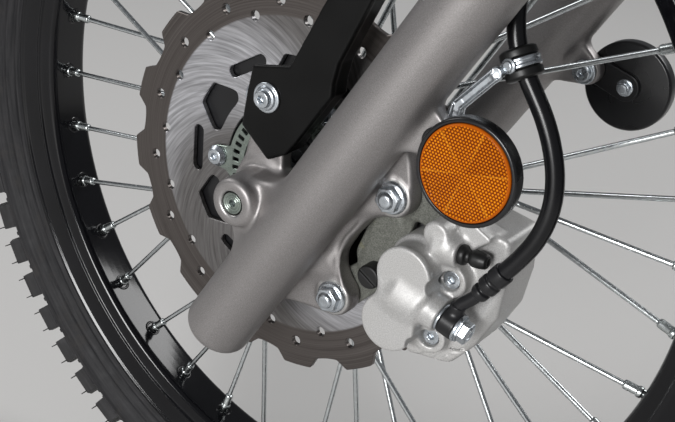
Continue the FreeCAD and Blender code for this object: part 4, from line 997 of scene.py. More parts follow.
def caliper_lugs():
    """Two lugs for the caliper's bolts on a web, with a bead along the round opening between them."""
    low, high = boss_in, lug_out
    lugs = arm(caliper_up, 13, (-tube_lead - 4, 72), 30, low, high, 2.2)
    lugs = lugs.melt(arm(caliper_low, 13, (-tube_lead - 4, -22), 30, low, high, 2.2), 4)
    back = -tube_lead - 27.5
    web = [(-tube_lead, 80), (back, 60), (back, -8), (-tube_lead, -30)]
    lugs = lugs.melt(plate(web, low, high, 4, 2.2), 14)
    lugs = lugs.cut(cross_rod(lug_opening, low - 5, high + 5, lug_opening_radius, 0), 2.0)
    near, far = lug_opening_radius + 1.6, lug_opening_radius + 3.6
    bead = across_turned([(near, 77), (far, 77), (far, 79.3), (near, 79.3)], lug_opening, 0.9)
    bead = bead.within(slant((0, 0, 30), (0, 0, -1))).within(slant((-85, 0, 0), (1, 0, 0)))
    lugs = lugs.melt(bead.melt(rod((-60.9, high, 28), (-61.4, high, 52), 1.05, 0.4), 0.5), 0.8)
    for at in (caliper_up, caliper_low):
        lugs = lugs.melt(cross_rod(at, low, lug_face, lug_pad_radius, 0.5), 1.2)
    return lugs


def guard_ears():
    """Two flat arms that carry the sensor guard."""
    low, high = guard_in - 10, guard_in
    lower = arm((0, 0), boss_radius, guard_bolt, 9, low, high, 1.6)
    return lower.melt(arm((-tube_lead + 8, guard_bolt_top[1] - 4), 14, guard_bolt_top, 9, low, high, 1.6), 1)


def make_sliders():
    left = slider_form(boss_out[1]).melt(caliper_lugs(), 9).melt(guard_ears(), 6)
    left = left.cut(cross_rod((0, 0), 104, 120, 7.6, 0.3), 0.6)
    left = left.cut(cross_rod((0, 0), 110.6, 114.6, 7.2, 0.1, 11.2), 0.4)
    add_form("slider_left", left, 1.45, "fork_paint", "fork", "slider_paint", "fork_slider_left")
    slit = plate([(-1, -2), (-1, -30), (1, -30), (1, -2)], 60, 73.5, 0.3, 0.1)
    right = slider_form(boss_out[-1]).cut(slit, 0.4).across()
    add_form("slider_right", right, 2.0, "fork_paint", "fork", "slider_paint", "fork_slider_right")


def make_tubes():
    """Chromed tubes and the dust seals round them."""
    line = [(0, tube_foot), (tube_radius, tube_foot), (tube_radius, tube_top), (0, tube_top)]
    lips = [(0, 0), (25.6, 0), (25.6, 5.5), (24.6, 6.2), (24.9, 7.4), (22.6, 9.0), (21.6, 12.2), (19.4, 13.0),
            (0, 13)]
    lips = [(radius, slider_top + rise) for radius, rise in lips]
    for side, label in ((1, "left"), (-1, "right")):
        at = (leg[0], side * leg[1])
        add_piece("tube_" + label, *up_lathe(eased(line, 0.8), at, 72), "chrome", "fork", "chrome_tube",
                  "stanchion_" + label)
        add_piece("seal_" + label, *up_lathe(eased(lips, 0.5), at, 72), "soft_rubber", "fork", "black_rubber",
                  "dust_seal_" + label, sharp=60)


# Axle and its end

def make_axle():
    """The shaft, its end with rings turned round a small hexagon socket, and its head with a large one."""
    start, shoulder, neck_end = -boss_out[-1], boss_in, 108
    shaft = [(0, start), (axle_radius, start), (axle_radius, shoulder), (axle_neck_radius, shoulder),
             (axle_neck_radius, neck_end), (0, neck_end)]
    end = cross_rod((0, 0), 100, axle_end_y, axle_end_radius, 0.5)
    end = end.cut(hexagon((0, 0), 4.4, 107.5, 115), 0.25)
    for ring in (3.7, 5.3):
        near, far, bottom = ring - 0.35, ring + 0.35, 110.9
        groove = [(near, bottom), (far, bottom), (far, 113), (near, 113)]
        end = end.cut(across_turned(groove, corner=0.1), 0.2)
    head = cross_rod((0, 0), -115, -106, 14, 1.2).cut(hexagon((0, 0), 12.0, -120, -108), 0.4)
    add_piece("axle_bar", *across_lathe(shaft, segments=48), "zinc", "fork", "zinc", "axle", sharp=35)
    add_form("axle_end", end, 0.32, "tone_zinc", "fork", "zinc")
    add_form("axle_head", head, 0.9, "zinc", "fork", "zinc")


def hexagon(at, across, y0, y1, edge=0.2):
    corner = across / math.sqrt(3)
    return plate([np.add(at, polar(corner, 60 * k + 10)) for k in range(6)], y0, y1, 0.3, edge)


# Wheel

def mirrored(line):
    """A line of (radius, y) points on the wheel's other side, from its end back to its start."""
    return [(radius, -y) for radius, y in reversed(line)]


def make_rim():
    """A wide bed for the spokes with round shoulders, a thin ridge up each side wall and a rolled flange."""
    shoulder = [(252.0 + 5.2 * (1 - math.cos(t)), 11.6 + 6.3 * math.sin(t)) for t in np.linspace(0, 1.45, 12)]
    half = [(251.8, 0), (251.85, 6.0), *shoulder, (259.6, 18.5), (262.6, 19.3), (263.3, 20.1), (263.9, 20.75),
            (264.6, 20.8), (265.3, 20.35), (266.6, 20.4), (276.9, 22.9), (278.4, 24.2), (279.9, 24.5),
            (280.7, 23.6), (280.6, 22.4), (269.6, 19.5), (268.6, 15.5), (256.0, 10.5), (255.6, 0)]
    line = eased(half + mirrored(half[1:-1]), 0.35, 2, closed=True)
    add_piece("rim_ring", *across_lathe(line, segments=252, closed=True), "rim_black", "wheel", "black_paint",
              "rim", sharp=75)


def sidewall():
    """Outer line of the tyre from its bead to the crown, with the thin ribs beside the rim."""
    return [(268.7, 15.5), (270.0, 19.2), (279.9, 20.9), (282.0, 22.0), (284.0, 24.0), (284.9, 24.2),
            (285.6, 25.3), (289.6, 28.6), (290.4, 28.8), (291.2, 30.0), (296.0, 33.4), (301.0, 35.7),
            (306.0, 34.9), (311.5, 30.6), (317.2, 24.6), (324.0, 18.0), (330.4, 11.3), (331.2, 8.0),
            (331.4, 0.0)]


def make_tyre():
    outer = sidewall()
    inner = [(325.0, 0.0), (325.0, 11.5), (300.0, 28.0), (279.0, 18.0)]
    line = eased(outer + mirrored(outer[:-1]) + mirrored(inner[1:]) + inner, 1.0, 2, closed=True)
    add_piece("tyre_casing", *across_lathe(line, segments=272, closed=True), "tyre_rubber", "wheel", "tyre",
              "tyre", sharp=60)


def knob(angle, half, low, high, height, rings):
    """A tread block over the casing between two (radius, y) points, standing square to it."""
    low, high = np.array(low, float), np.array(high, float)
    run = (high - low) / np.linalg.norm(high - low)
    out = np.array([abs(run[1]), -run[0] * np.sign(run[1])])
    points = []
    for rise, grow, swell in rings:
        start, end = low - run * grow, high + run * grow
        for spot, way in ((start, -1), (start, 1), (end, 1), (end, -1)):
            radius, y = spot + out * (height + rise)
            x, z = polar(radius, angle + way * (half + math.degrees(swell / 335)))
            points.append((x, y, z))
    faces = []
    for k in range(len(rings) - 1):
        for c in range(4):
            d = (c + 1) % 4
            faces.append([4 * k + c, 4 * k + d, 4 * k + 4 + d, 4 * k + 4 + c])
    faces += [[3, 2, 1, 0], [4 * k + 4 + c for c in range(4)]]
    if low[1] > high[1]:
        faces = [face[::-1] for face in faces]
    return points, faces


def tread_block(angle, half, low, high, height):
    """A block with a splayed foot and broken edges."""
    rings = [(-height - 1.5, 1.6, 1.6), (1.6 - height, 0.35, 0.35), (-0.9, 0.0, 0.0), (-0.25, -0.25, -0.25),
             (0.0, -0.9, -0.9)]
    return knob(angle, half, low, high, height, rings)


def make_knobs():
    """One pitch of tread: a block on each shoulder, a pair down the middle, ribs and vent stubs."""
    pieces = []
    pitch = 360 / knob_count
    half = 0.32 * pitch
    middle = pitch / 2
    for side in (-1, 1):
        low, high = (317.4, side * 24.1), (330.0, side * 11.95)
        pieces.append(tread_block(middle, half, low, high, 10.5))
        pieces.append(tread_block(middle, half - 0.3, (331.0, side * 9.5), (331.0, side * 0.9), 14.0))
        rib = [(-1.3, 0.6, 0.5), (-0.3, 0.2, 0.1), (0.0, -0.1, -0.2)]
        pieces.append(knob(middle, half * 0.9, (307.5, side * 33.3), (315.8, side * 25.6), 1.3, rib))
        pieces.append(knob(0.0, 0.045 * pitch, (309.0, side * 32.6), (321.0, side * 20.6), 0.9, rib))
        for way in (-1, 1):
            x, z = polar(324.5, middle + way * half * 0.8)
            foot = np.array([x, side * 31.4, z])
            tip = foot + np.array([x * 0.004, side * 4.6, z * 0.004])
            pieces.append(tube([foot, tip], [0.5, 0.35], 6))
    add_ring("tread_knobs", joined(*pieces), knob_count, "tyre_rubber", "tyre", sharp=30)


def spoke_ends():
    """Nipple seat and hub end of the first four spokes; the rest repeat them."""
    ends = []
    for k in range(4):
        angle = first_nipple - k * 360.0 / spoke_count
        side, outside = (1 if k % 2 else -1), k % 4 in (0, 1)
        nx, nz = polar(nipple_seat, angle)
        hx, hz = polar(hub_hole_ring, angle + (spoke_lead if outside else -spoke_lead))
        reach = hub_flange_half + 2.6 if outside else -hub_flange_half - 1.9
        seat, hub = (nx, side * nipple_side, nz), (hx, side * (hub_flange_y + reach), hz)
        ends.append((np.array(seat), np.array(hub), side * (1 if outside else -1)))
    return ends


def make_spokes():
    """Wires, their heads in the hub, nipples, and the pressed seats of the nipples in the rim."""
    head = [(0, -0.6), (2.4, 0), (3.9, 0.7), (3.9, 1.5), (2.6, 2.6), (0, 2.9)]
    body = [(0, 1.5), (3.0, 1.5), (3.0, 4.6), (3.75, 5.0), (3.75, 7.6), (3.1, 8.1), (3.1, 16.0), (2.7, 16.9),
            (1.9, 17.3), (0, 17.3)]
    lip = [(3.9, 1.9), (4.6, 3.1), (5.6, 3.3), (6.6, 2.5), (7.4, 1.4), (5.0, 0.6)]
    wires, heads, nipples, seats = [], [], [], []
    for seat, hub, out in spoke_ends():
        way = unit(hub - seat)
        back = np.array([0, -out, 0.0])
        line = eased([seat + way * 11, hub - way * 6, hub, hub + back * 7.6], 3.0, 5)
        wires.append(tube(line, [spoke_radius] + [2.0] * (len(line) - 1), 12))
        base = hub + back * 7.0
        heads.append(lathe(head, base, base + back, 20))
        nipples.append(lathe(eased(body, 0.3, 2), seat, seat + way, 20))
        inward = -np.array([seat[0], 0, seat[2]]) / np.linalg.norm(seat[[0, 2]])
        lip_end = seat + inward + way * 0.35
        seats.append(lathe(eased(lip, 0.4, 2, closed=True), seat, lip_end, 28, closed=True))
    groups = spoke_count // 4
    for name, pieces, finish, slot, node, sharp in (
            ("spoke_wires", wires, "spoke_steel", "zinc", ["spokes"], 50),
            ("spoke_heads", heads, "spoke_steel", "zinc", [], 50),
            ("nipple_bodies", nipples, "nipple_steel", "bright_steel", ["spoke_nipples"], 40),
            ("nipple_seats", seats, "rim_black", "black_paint", [], 60)):
        add_ring(name, joined(*pieces), groups, finish, slot, *node, sharp=sharp,
                 spacing=8 * math.pi / spoke_count)


def make_hub():
    """The shell with its two spoke flanges, the disc's six arms, the dish behind the disc and the seal."""
    bore = hub_bore_radius
    line = [(bore, -44), (24, -44), (24, -34.2), (37, -33.5), (38, -32.6), (38, -29.4), (37, -28.5),
            (28, -28.3), (23, -22), (21.2, 0), (23, 22), (28, 28.3), (37, 28.5), (38, 29.4), (38, 32.6),
            (37, 33.5), (28, 34), (28, 41), (33, 44), (34, 45), (34, 53.2), (33.4, 53.8), (bore, 53.8)]
    dish = [(29, 40.5), (60, 43.0), (84.5, 45.6), (86.0, 46.6), (86.0, 48.4), (84.6, 49.2), (60, 49.4),
            (29, 49.4)]
    seal = [(15.0, 53.9), (31.0, 53.9), (31.0, 56.0), (29.5, 57.0), (24.0, 57.0), (22.0, 55.2), (15.0, 55.2)]
    shell = across_lathe(eased(line, 1.5, 3, closed=True), segments=128, closed=True)
    add_piece("hub_shell", *shell, "hub_alloy", "wheel", "hub_alloy", "wheel_hub", sharp=60)
    root, at = polar(28, disc_bolt_phase), polar(disc_bolt_ring, disc_bolt_phase)
    carrier = arm(root, 12, at, 8.8, 42.5, disc_in, 1.2)
    add_ring("hub_arms", skin(carrier, 1.1), disc_bolt_count, "hub_alloy", "hub_alloy")
    for name, profile, reach, steps, segments, finish in (
            ("hub_dish", dish, 0.8, 3, 180, "black_steel"),
            ("hub_seal_lip", seal, 0.5, 2, 96, "soft_rubber")):
        shape = across_lathe(eased(profile, reach, steps, closed=True), segments=segments, closed=True)
        add_piece(name, *shape, finish, "wheel", "hub_alloy", sharp=50)


# Brake disc and tone ring

def petal_outline():
    line = []
    step = 360.0 / petals
    for k in range(petals):
        mid = disc_phase + k * step
        for a in np.linspace(mid - crest_half, mid + crest_half, 9):
            line.append(polar(disc_radius, a))
        notch = disc_radius - notch_depth
        for a in np.linspace(mid + step / 2 - notch_half, mid + step / 2 + notch_half, 7):
            line.append(polar(notch - 1.0 + ((a - mid - step / 2) / notch_half) ** 2, a))
    return eased(line, 0.8, 2, closed=True)


def shield_window(turn):
    """Outline of a five-sided window with round corners, turned to its place on the disc."""
    line = [polar(80.5, a) for a in np.linspace(-6.5, 6.5, 7)]
    line += [polar(68, 14), polar(64.5, 15.8), polar(60, 13.5)]
    line += [polar(59.2, a) for a in np.linspace(9, -9, 7)]
    line += [polar(60, -13.5), polar(64.5, -15.8), polar(68, -14)]
    return [turned_point(p, turn) for p in eased(line, 2.2, 3, closed=True)]


def turned_point(point, angle):
    radius, at = math.hypot(*point), math.degrees(math.atan2(point[1], point[0]))
    return polar(radius, at + angle)


def bolt_turns():
    return [disc_bolt_phase + 60 * k for k in range(disc_bolt_count)]


def make_disc():
    """Petal disc with two rings of small holes, slots over the bolts and windows between them."""
    holes = [circle((0, 0), 50.0, 120)]
    step = 360.0 / petals
    for k in range(petals):
        holes.append(circle(polar(outer_hole_ring, disc_phase + k * step), disc_hole_radius, 24))
        holes.append(circle(polar(inner_hole_ring, inner_hole_phase + k * step), disc_hole_radius, 24))
    for turn in bolt_turns():
        holes.append(round_slot(polar(slot_ring, turn - 9.0), polar(slot_ring, turn + 9.0), slot_radius))
        holes.append(shield_window(turn + 30))
        holes.append(circle(polar(disc_bolt_ring, turn), disc_bolt_hole_radius, 24))
    add_stamped("disc_plate", petal_outline(), holes, disc_in, disc_out, 0.45, "disc_steel", "bright_steel",
                "brake_disc")


def make_tone_ring():
    """Thin ring with a row of windows and six ears under the disc's bolts."""
    line, holes = [], [circle((0, 0), ring_inner_radius, 96)]
    for turn in bolt_turns():
        ear = polar(disc_bolt_ring, turn)
        line += [polar(ring_outer_radius, turn + a) for a in np.linspace(-48, -14, 18)]
        line += [polar(50.5, turn - 9.5)]
        line += [np.add(ear, polar(7.2, turn + a)) for a in np.linspace(-80, 80, 13)]
        line += [polar(50.5, turn + 9.5)]
        holes.append(circle(ear, disc_bolt_hole_radius, 24))
    window = eased([(39.6, -1.25), (44.4, -1.25), (44.4, 1.25), (39.6, 1.25)], 0.5, 2, closed=True)
    holes += [[turned_point(p, k * 360.0 / tooth_count) for p in window] for k in range(tooth_count)]
    add_stamped("tone_plate", eased(line, 1.2, 2, closed=True), holes, disc_out, disc_out + ring_thick, 0.3,
                "tone_zinc", "zinc", "tone_ring")


def make_disc_bolts():
    at = polar(disc_bolt_ring, disc_bolt_phase)
    face = disc_out + ring_thick
    line = [(0, face), (7.2, face), (7.2, face + 0.9), (5.0, face + 4.0), (0, face + 4.4)]
    head = across_turned(line, at, 0.4)
    head = head.cut(hexagon(at, 4.6, face + 1.6, face + 8), 0.25)
    add_ring("disc_bolt_heads", skin(head, 0.42), disc_bolt_count, "zinc", "zinc", "disc_bolts", sharp=60)


# Caliper

def along_banjo(distance):
    return banjo_seat + banjo_way * distance


def caliper_form():
    """Two pots under one face plate, on a body that bridges the disc."""
    body = caliper_block()
    shoulders = cross_rod(piston_up, 52, 80, 19.8, 2.2).melt(cross_rod(piston_low, 52, 80, 19.5, 2.2), 4)
    body = body.melt(shoulders, 5)
    for low, high, wider, edge, fillet in ((60, 97, 0, 1.0, 4), (93.5, 98, 0.9, 1.5, 1.2)):
        pots = [cross_rod(at, low, high, piston_radius + wider, edge) for at in (piston_up, piston_low)]
        body = body.melt(pots[0].melt(pots[1], 13), fillet)
    port = rod(along_banjo(-30), along_banjo(-0.2), 10.6, 1.0)
    body = body.melt(port.melt(rod(along_banjo(-30), along_banjo(-12), 12.5, 2), 4), 5)
    boss = cross_rod(slide_up, 60, 86, 8.4, 2.4).melt(rod((-101, 66, 76.5), (-122, 70, 84), 7, 1), 5)
    body = body.melt(boss, 5)
    body = body.melt(plate([(-104, 86), (-112, 96), (-126, 97), (-121, 84)], 62, 78, 2, 1.2), 4)
    body = body.melt(rod(bleed_seat - bleed_way * 20, bleed_seat - bleed_way * 4.5, 8.6, 1.2), 5)
    for at, top in ((pad_pin_up, 80.5), (pad_pin_low, 80.0)):
        body = body.melt(cross_rod(at, 60, top, 10.2, 1.0), 4)
    body = body.melt(arm((-120, 34), 3.2, (-137, 22), 3.2, 66, 84, 1.0), 4)
    body = body.melt(arm((-124, 8), 3.0, (-139, 12), 3.0, 62, 80, 1.0), 4)
    for at in (pad_pin_up, pad_pin_low):
        body = body.cut(cross_rod(at, 77.6, 104, 6.3, 0.3), 0.7)
        body = body.cut(cross_rod(at, pin_seat - 1, 104, 5.7, 0.3), 0.3)
    body = body.cut(rod((-122, 78.4, 57), (-112, 82, 50), 2.6, 0.5), 1.0)
    low, high = disc_slot
    body = body.cut(across_turned([(0, low), (disc_slot_radius, low), (disc_slot_radius, high), (0, high)],
                                  corner=0.5), 0.8)
    return body.cut(bracket_form(1.2, 20, bracket_out + 0.6), 1.0)


def caliper_block():
    """The body over the disc, with its slanting faces and two rows of grooves."""
    outline = [(-98, 62), (-99, 80), (-112, 93), (-133, 101), (-148, 78), (-157, 56), (-159, 31), (-156, 10),
               (-133, -8), (-118, 0), (-103, 12), (-99, 34)]
    block = plate(outline, 33, 71.5, 5, 3.0)
    for point, normal in (((-152, 71, 52), (-0.75, 0.8, 0.1)), ((-155, 71, 20), (-0.8, 0.8, -0.15)),
                          ((-138, 72, 98), (-0.5, 0.9, 0.5))):
        block = block.cut(slant(point, normal), 1.5)
    for k in range(3):
        start, end = (-150 + 5.5 * k, 72.5, -5 - 4 * k), (-156 + 5.5 * k, 72.5, 22 - 4 * k)
        block = block.cut(rod(start, end, 2.6, 1), 1.0)
    for k in range(3):
        start, end = (-143 - 2.6 * k, 71.8, 13 - 1.2 * k), (-156.5 - 2.6 * k, 69.4, 26 - 1.2 * k)
        block = block.cut(rod(start, end, 1.1, 0.5), 0.5)
    return block


def bracket_form(extra, y0, y1, edge=1.2):
    plates = arm(caliper_up, 12.5 + extra, slide_up, 11 + extra, y0, y1, edge)
    plates = plates.melt(arm(caliper_low, 12 + extra, slide_low, 10 + extra, y0, y1, edge), 4)
    return plates.melt(arm(caliper_up, 13 + extra, slide_low, 12 + extra, y0, y1, edge), 4)


def make_caliper():
    add_form("caliper_casting", caliper_form(), 0.85, "cast_alloy", "fork", "cast_alloy", "caliper_body")
    bracket = bracket_form(0, bracket_in, bracket_out)
    bracket = bracket.melt(arm((-70, 42), 10, (-77, 17), 11.5, bracket_in, bracket_out, 1.2), 3)
    add_form("bracket_plate", bracket, 0.9, "bracket_steel", "fork", "bracket_steel", "caliper_bracket")


def flange_bolt(at, face, across, flange, height, flange_thick=2.2):
    """A hexagon bolt head with a round flange and a domed top."""
    low, deep = height * 0.80, 26
    corners = [np.add(at, polar(across / math.sqrt(3), 60 * k + 14)) for k in range(6)]
    dome = ball((at[0], face - deep, at[1]), low + deep + 0.6)
    head = plate(corners, face, face + low, 0.4, 0.3).within(dome)
    head = head.melt(cross_rod(at, face, face + height + 0.8, across * 0.36, 2.4), 0.5)
    return head.melt(cross_rod(at, face, face + flange_thick, flange, 0.6, flange - 1.2), 0.5)


def socket_bolt(at, face, radius, height, socket, flange=None):
    head = cross_rod(at, face, face + height, radius, 0.5)
    if flange:
        head = head.melt(cross_rod(at, face, face + 1.6, flange, 0.5), 0.5)
    return head.cut(hexagon(at, socket, face + height * 0.45, face + height + 4), 0.25)


def make_fasteners():
    bolts = [flange_bolt(at, lug_face, 14.0, 10.6, 8.5) for at in (caliper_up, caliper_low)]
    add_form("lug_bolts", bolts[0] + bolts[1], 0.55, "zinc", "fork", "zinc", "caliper_bolts")
    pins = [socket_bolt(at, pin_seat, 5.5, 4.6, 4.6) for at in (pad_pin_up, pad_pin_low)]
    add_form("pin_heads", pins[0] + pins[1], 0.4, "zinc", "fork", "zinc", "pad_pins")
    guard = [socket_bolt(at, guard_out, 5.4, 6.8, 4.6, 9.4) for at in (guard_bolt, guard_bolt_top)]
    collar = cross_rod(guard_bolt, guard_out, guard_out + 3.5, 7.2, 0.6)
    add_form("guard_bolt_heads", (guard[0] + guard[1]).melt(collar, 0.6), 0.55, "zinc", "fork", "zinc",
             "guard_bolts")
    cap = cross_rod(slide_low, 65.9, 77.0, 7.6, 1.4)
    cross_slot = [np.add(slide_low, p) for p in ((-9, -0.9), (9, -0.9), (9, 0.9), (-9, 0.9))]
    cap = cap.cut(plate(cross_slot, 75.6, 80, 0.2, 0.1), 0.3)
    add_form("pin_cap", cap, 0.5, "soft_rubber", "fork", "black_rubber", "slide_pin_cap")


def make_banjo():
    """Eye, washers, bolt, bent pipe and the ferrule that holds the hose."""
    washer = eased([(5.2, 0), (8.6, 0), (8.6, 1.5), (5.2, 1.5)], 0.3, 2, closed=True)
    for label, low in (("inner", 0.0), ("outer", 11.5)):
        base = along_banjo(low)
        add_piece("banjo_washer_" + label, *lathe(washer, base, base + banjo_way, 48, closed=True), "zinc",
                  "fork", "black_steel", sharp=40)
    middle = along_banjo(6.5)
    exit_point, along = np.array(hose_route[0]), unit(np.subtract(hose_route[1], hose_route[0]))
    knee = middle + np.array([-banjo_way[2], 0, banjo_way[0]]) * -13
    eye = rod(along_banjo(1.5), along_banjo(11.5), 8.7, 0.9).melt(rod(middle, knee, 4.6, 0.5), 2)
    pipe_line = eased([middle, knee, exit_point - along * 27.0, exit_point - along * 13], 9, 8)
    add_piece("banjo_pipe", *tube(pipe_line, 3.9, 20), "black_steel", "fork", "black_steel")
    add_form("banjo_eye", eye, 0.5, "black_steel", "fork", "black_steel", "banjo_fitting")
    crimp = [(0, -23), (5.0, -23), (5.6, -21.5), (5.6, -18.5), (4.2, -17.6), (4.2, -16.2), (6.4, -15.4),
             (6.4, -10.5), (5.5, -9.6), (5.5, -8.2), (6.5, -7.4), (6.5, -0.6), (6.0, 0), (0, 0)]
    add_piece("hose_ferrule", *lathe(eased(crimp, 0.5, 2), exit_point, exit_point + along, 48), "black_steel",
              "fork", "black_steel", sharp=40)
    bolt_base = along_banjo(13.0)
    head = [(0, 0), (8.0, 0), (8.0, 1.4), (6.9, 1.9), (6.9, 6.0), (5.6, 7.0), (3.2, 7.0), (3.0, 6.4),
            (0, 6.4)]
    add_piece("banjo_bolt_head", *lathe(eased(head, 0.3, 2), bolt_base, bolt_base + banjo_way, 6), "zinc",
              "fork", "black_steel", "banjo_bolt", sharp=30)
    cap = [(0, -5.5), (4.4, -5.5), (6.0, -4.6), (6.2, -2.4), (5.7, -0.6), (4.0, 0.2), (3.6, 2.2), (4.7, 3.0),
           (5.2, 4.6), (5.0, 8.6), (4.3, 12.2), (3.4, 13.0), (2.2, 13.0), (2.0, 12.2), (0, 12.2)]
    add_piece("bleed_cap", *lathe(eased(cap, 0.5, 2), bleed_seat, bleed_seat + bleed_way, 40), "soft_rubber",
              "fork", "black_rubber", "bleed_nipple", sharp=50)


# Reflectors

def make_reflectors():
    """On each side a case, its lens, the nut behind it, the strap and the screw in the slider's ear."""
    case = [(0, 103), (28.8, 103), (30, 104.4), (30, 111.8), (29.0, 112.8), (27.4, 112.8),
            (27.2, 111.2), (0, 111.2)]
    pane = [(0, 111.0), (27.0, 111.0), (27.0, 112.6), (26.2, 113.5), (24.9, 113.5), (24.5, 113.0), (0, 113.3)]
    case, pane = eased(case, 0.5, 2), eased(pane, 0.4, 3)
    nut = cross_rod(reflector_at, 94.5, 104, 3.2, 0.4) + hexagon(reflector_at, 8.0, 96, 99.8, 0.3)
    nut = nut + cross_rod(reflector_at, 99.3, 100.1, 5.8, 0.2)
    strap = arm(side_bolt, 9.0, reflector_at, 9.5, 100.1, 102.9, 0.6)
    forms = [("reflector_nut_", nut, 0.5, "zinc", "zinc", None),
             ("reflector_strap_", strap, 0.7, "black_steel", "black_steel", "reflector_arm_"),
             ("reflector_screw_", ear_screw(), 0.45, "zinc", "zinc", "reflector_bolt_")]
    for side, label in ((1, "left"), (-1, "right")):
        for name, line, finish, slot, node in (
                ("reflector_case_" + label + "_shell", case, "case_plastic", "guard_plastic",
                 "reflector_case_"),
                ("reflector_pane_" + label, pane, "amber", "amber", "reflector_lens_")):
            line = [(radius, side * y) for radius, y in line]
            add_piece(name, *across_lathe(line, reflector_at, 96), finish, "fork", slot, node + label,
                      sharp=50)
        for name, form, step, finish, slot, node in forms:
            shape = form if side > 0 else form.across()
            nodes = (node + label,) if node else ()
            add_form(name + label, shape, step, finish, "fork", slot, *nodes)


def ear_screw():
    """The socket screw of the slider's ear, which faces the wheel."""
    screw = socket_bolt(side_bolt, 0, 5.6, 5.2, 4.4, 8.2)
    flat, flip = np.array([1, 0, 1]), np.array([1, -1, 1])
    return Form(lambda p: screw.distance((0, strap_in, 0) + p * flip),
                screw.low * flat + (0, strap_in - 5.5, 0), screw.high * flat + (0, strap_in + 0.5, 0))


# Guard, hose and its holders

def make_guard():
    """Flat panel with a wall along its rear edge."""
    outline = [(6.5, 24.0), (33.5, 27.5), (42.5, 47.3), (49.0, 64.0), (29.0, 83.0), (33.7, 131.7),
               (30.0, 176.0), (12.0, 214), (-6.0, 214), (-8.0, 180.0), (11.5, 153.0), (5.8, 108.0),
               (1.3, 96.0), (-2.7, 89.4), (-1.4, 46.0), (-0.5, 36.0)]
    rear = [(-0.5, 36), (2, 36), (2.6, 46), (1.5, 88), (5.5, 96), (9.6, 107), (15.2, 152), (11.5, 153),
            (5.8, 108), (1.3, 96), (-2.7, 89.4), (-1.4, 46)]
    panel = plate(outline, guard_in, guard_out, 1.5, 0.9).melt(plate(rear, 71, 86, 0.8, 0.8), 1.5)
    add_form("guard_panel", panel, 1.1, "guard_black", "fork", "guard_plastic", "sensor_guard")


def make_hose():
    """The hose is one smooth curve through the holders, at its whole length."""
    data = bpy.data.curves.new("brake_line", "CURVE")
    data.dimensions = "3D"
    spline = data.splines.new("NURBS")
    spline.points.add(len(hose_route) - 1)
    for point, at in zip(spline.points, in_row(hose_route)):
        point.co = (*at, 1)
    spline.order_u = 3
    spline.use_endpoint_u = True
    spline.resolution_u = 10
    data.bevel_depth = hose_radius / 1000
    data.bevel_resolution = 8
    data.use_fill_caps = True
    holder = bpy.data.objects.new("brake_line_curve", data)
    bpy.context.scene.collection.objects.link(holder)
    add_mesh("brake_line", welded(taken_from(holder)), "hose_rubber", "fork", "hose_rubber", "brake_hose",
             sharp=60)


def make_grommet():
    """Rubber ring round the hose, the stay's band in its groove and the band's screw."""
    at = np.array(hose_route[grommet_index])
    along = unit(np.subtract(hose_route[grommet_index + 1], hose_route[grommet_index - 1]))
    line = [(5.3, -8.5), (8.6, -8.5), (10.4, -7.4), (10.6, -3.6), (9.4, -3.2), (9.4, 3.2), (10.6, 3.6),
            (10.4, 7.4), (8.6, 8.5), (5.3, 8.5)]
    add_piece("line_grommet", *lathe(eased(line, 0.7, 3, closed=True), at, at + along, 56, closed=True),
              "soft_rubber", "fork", "black_rubber", "hose_grommet", sharp=60)
    band = [(9.5, -2.6), (10.9, -2.6), (11.1, -2.2), (11.1, -1.2), (10.6, -0.7), (10.6, 0.7), (11.1, 1.2),
            (11.1, 2.2), (10.9, 2.6), (9.5, 2.6)]
    band = lathe(eased(band, 0.2, 2, closed=True), at, at + along, 64, closed=True)
    add_piece("stay_band", *band, "zinc", "fork", "zinc", sharp=40)
    out = np.array([0.14, 0.86, -0.05])
    out = unit(out - along * (out @ along))
    foot = at + out * 9.8
    head = rod(foot, at + out * 13.2, 3.0, 0.8).melt(rod(foot, at + out * 11.8, 4.2, 0.3), 0.4)
    add_form("stay_screw", head, 0.4, "zinc", "fork", "zinc")


def make_stay():
    """Pressed strap with rolled edges from the reflector's ear up to the band round the grommet."""
    knee, tip = np.array((-63.5, 148.0)), np.array((-68.5, 177.0))
    strap = arm(side_bolt, 7.0, knee, 3.9, strap_in, strap_out, 0.5)
    strap = strap.melt(arm(knee, 3.9, tip, 3.7, strap_in, strap_out, 0.5), 1)
    strap = strap.melt(rod((tip[0], 88.8, tip[1] - 3), (-69.5, 84.0, 181.0), 2.6, 0.6), 2)
    foot = knee + (side_bolt - knee) * 0.55
    for side in (-1, 1):
        for start, end in ((foot, knee), (knee, tip)):
            way = unit(end - start)
            shift = np.array([-way[1], way[0]]) * side * 2.7
            (x0, z0), (x1, z1) = start + shift, end + shift
            strap = strap.melt(rod((x0, strap_out, z0), (x1, strap_out, z1), 1.0, 0.4), 0.4)
    strap = strap.cut(cross_rod(side_bolt, 80, 95, 3.4, 0.1), 0.3)
    add_form("line_stay", strap, 0.5, "zinc", "fork", "zinc", "hose_stay")


# Clamps

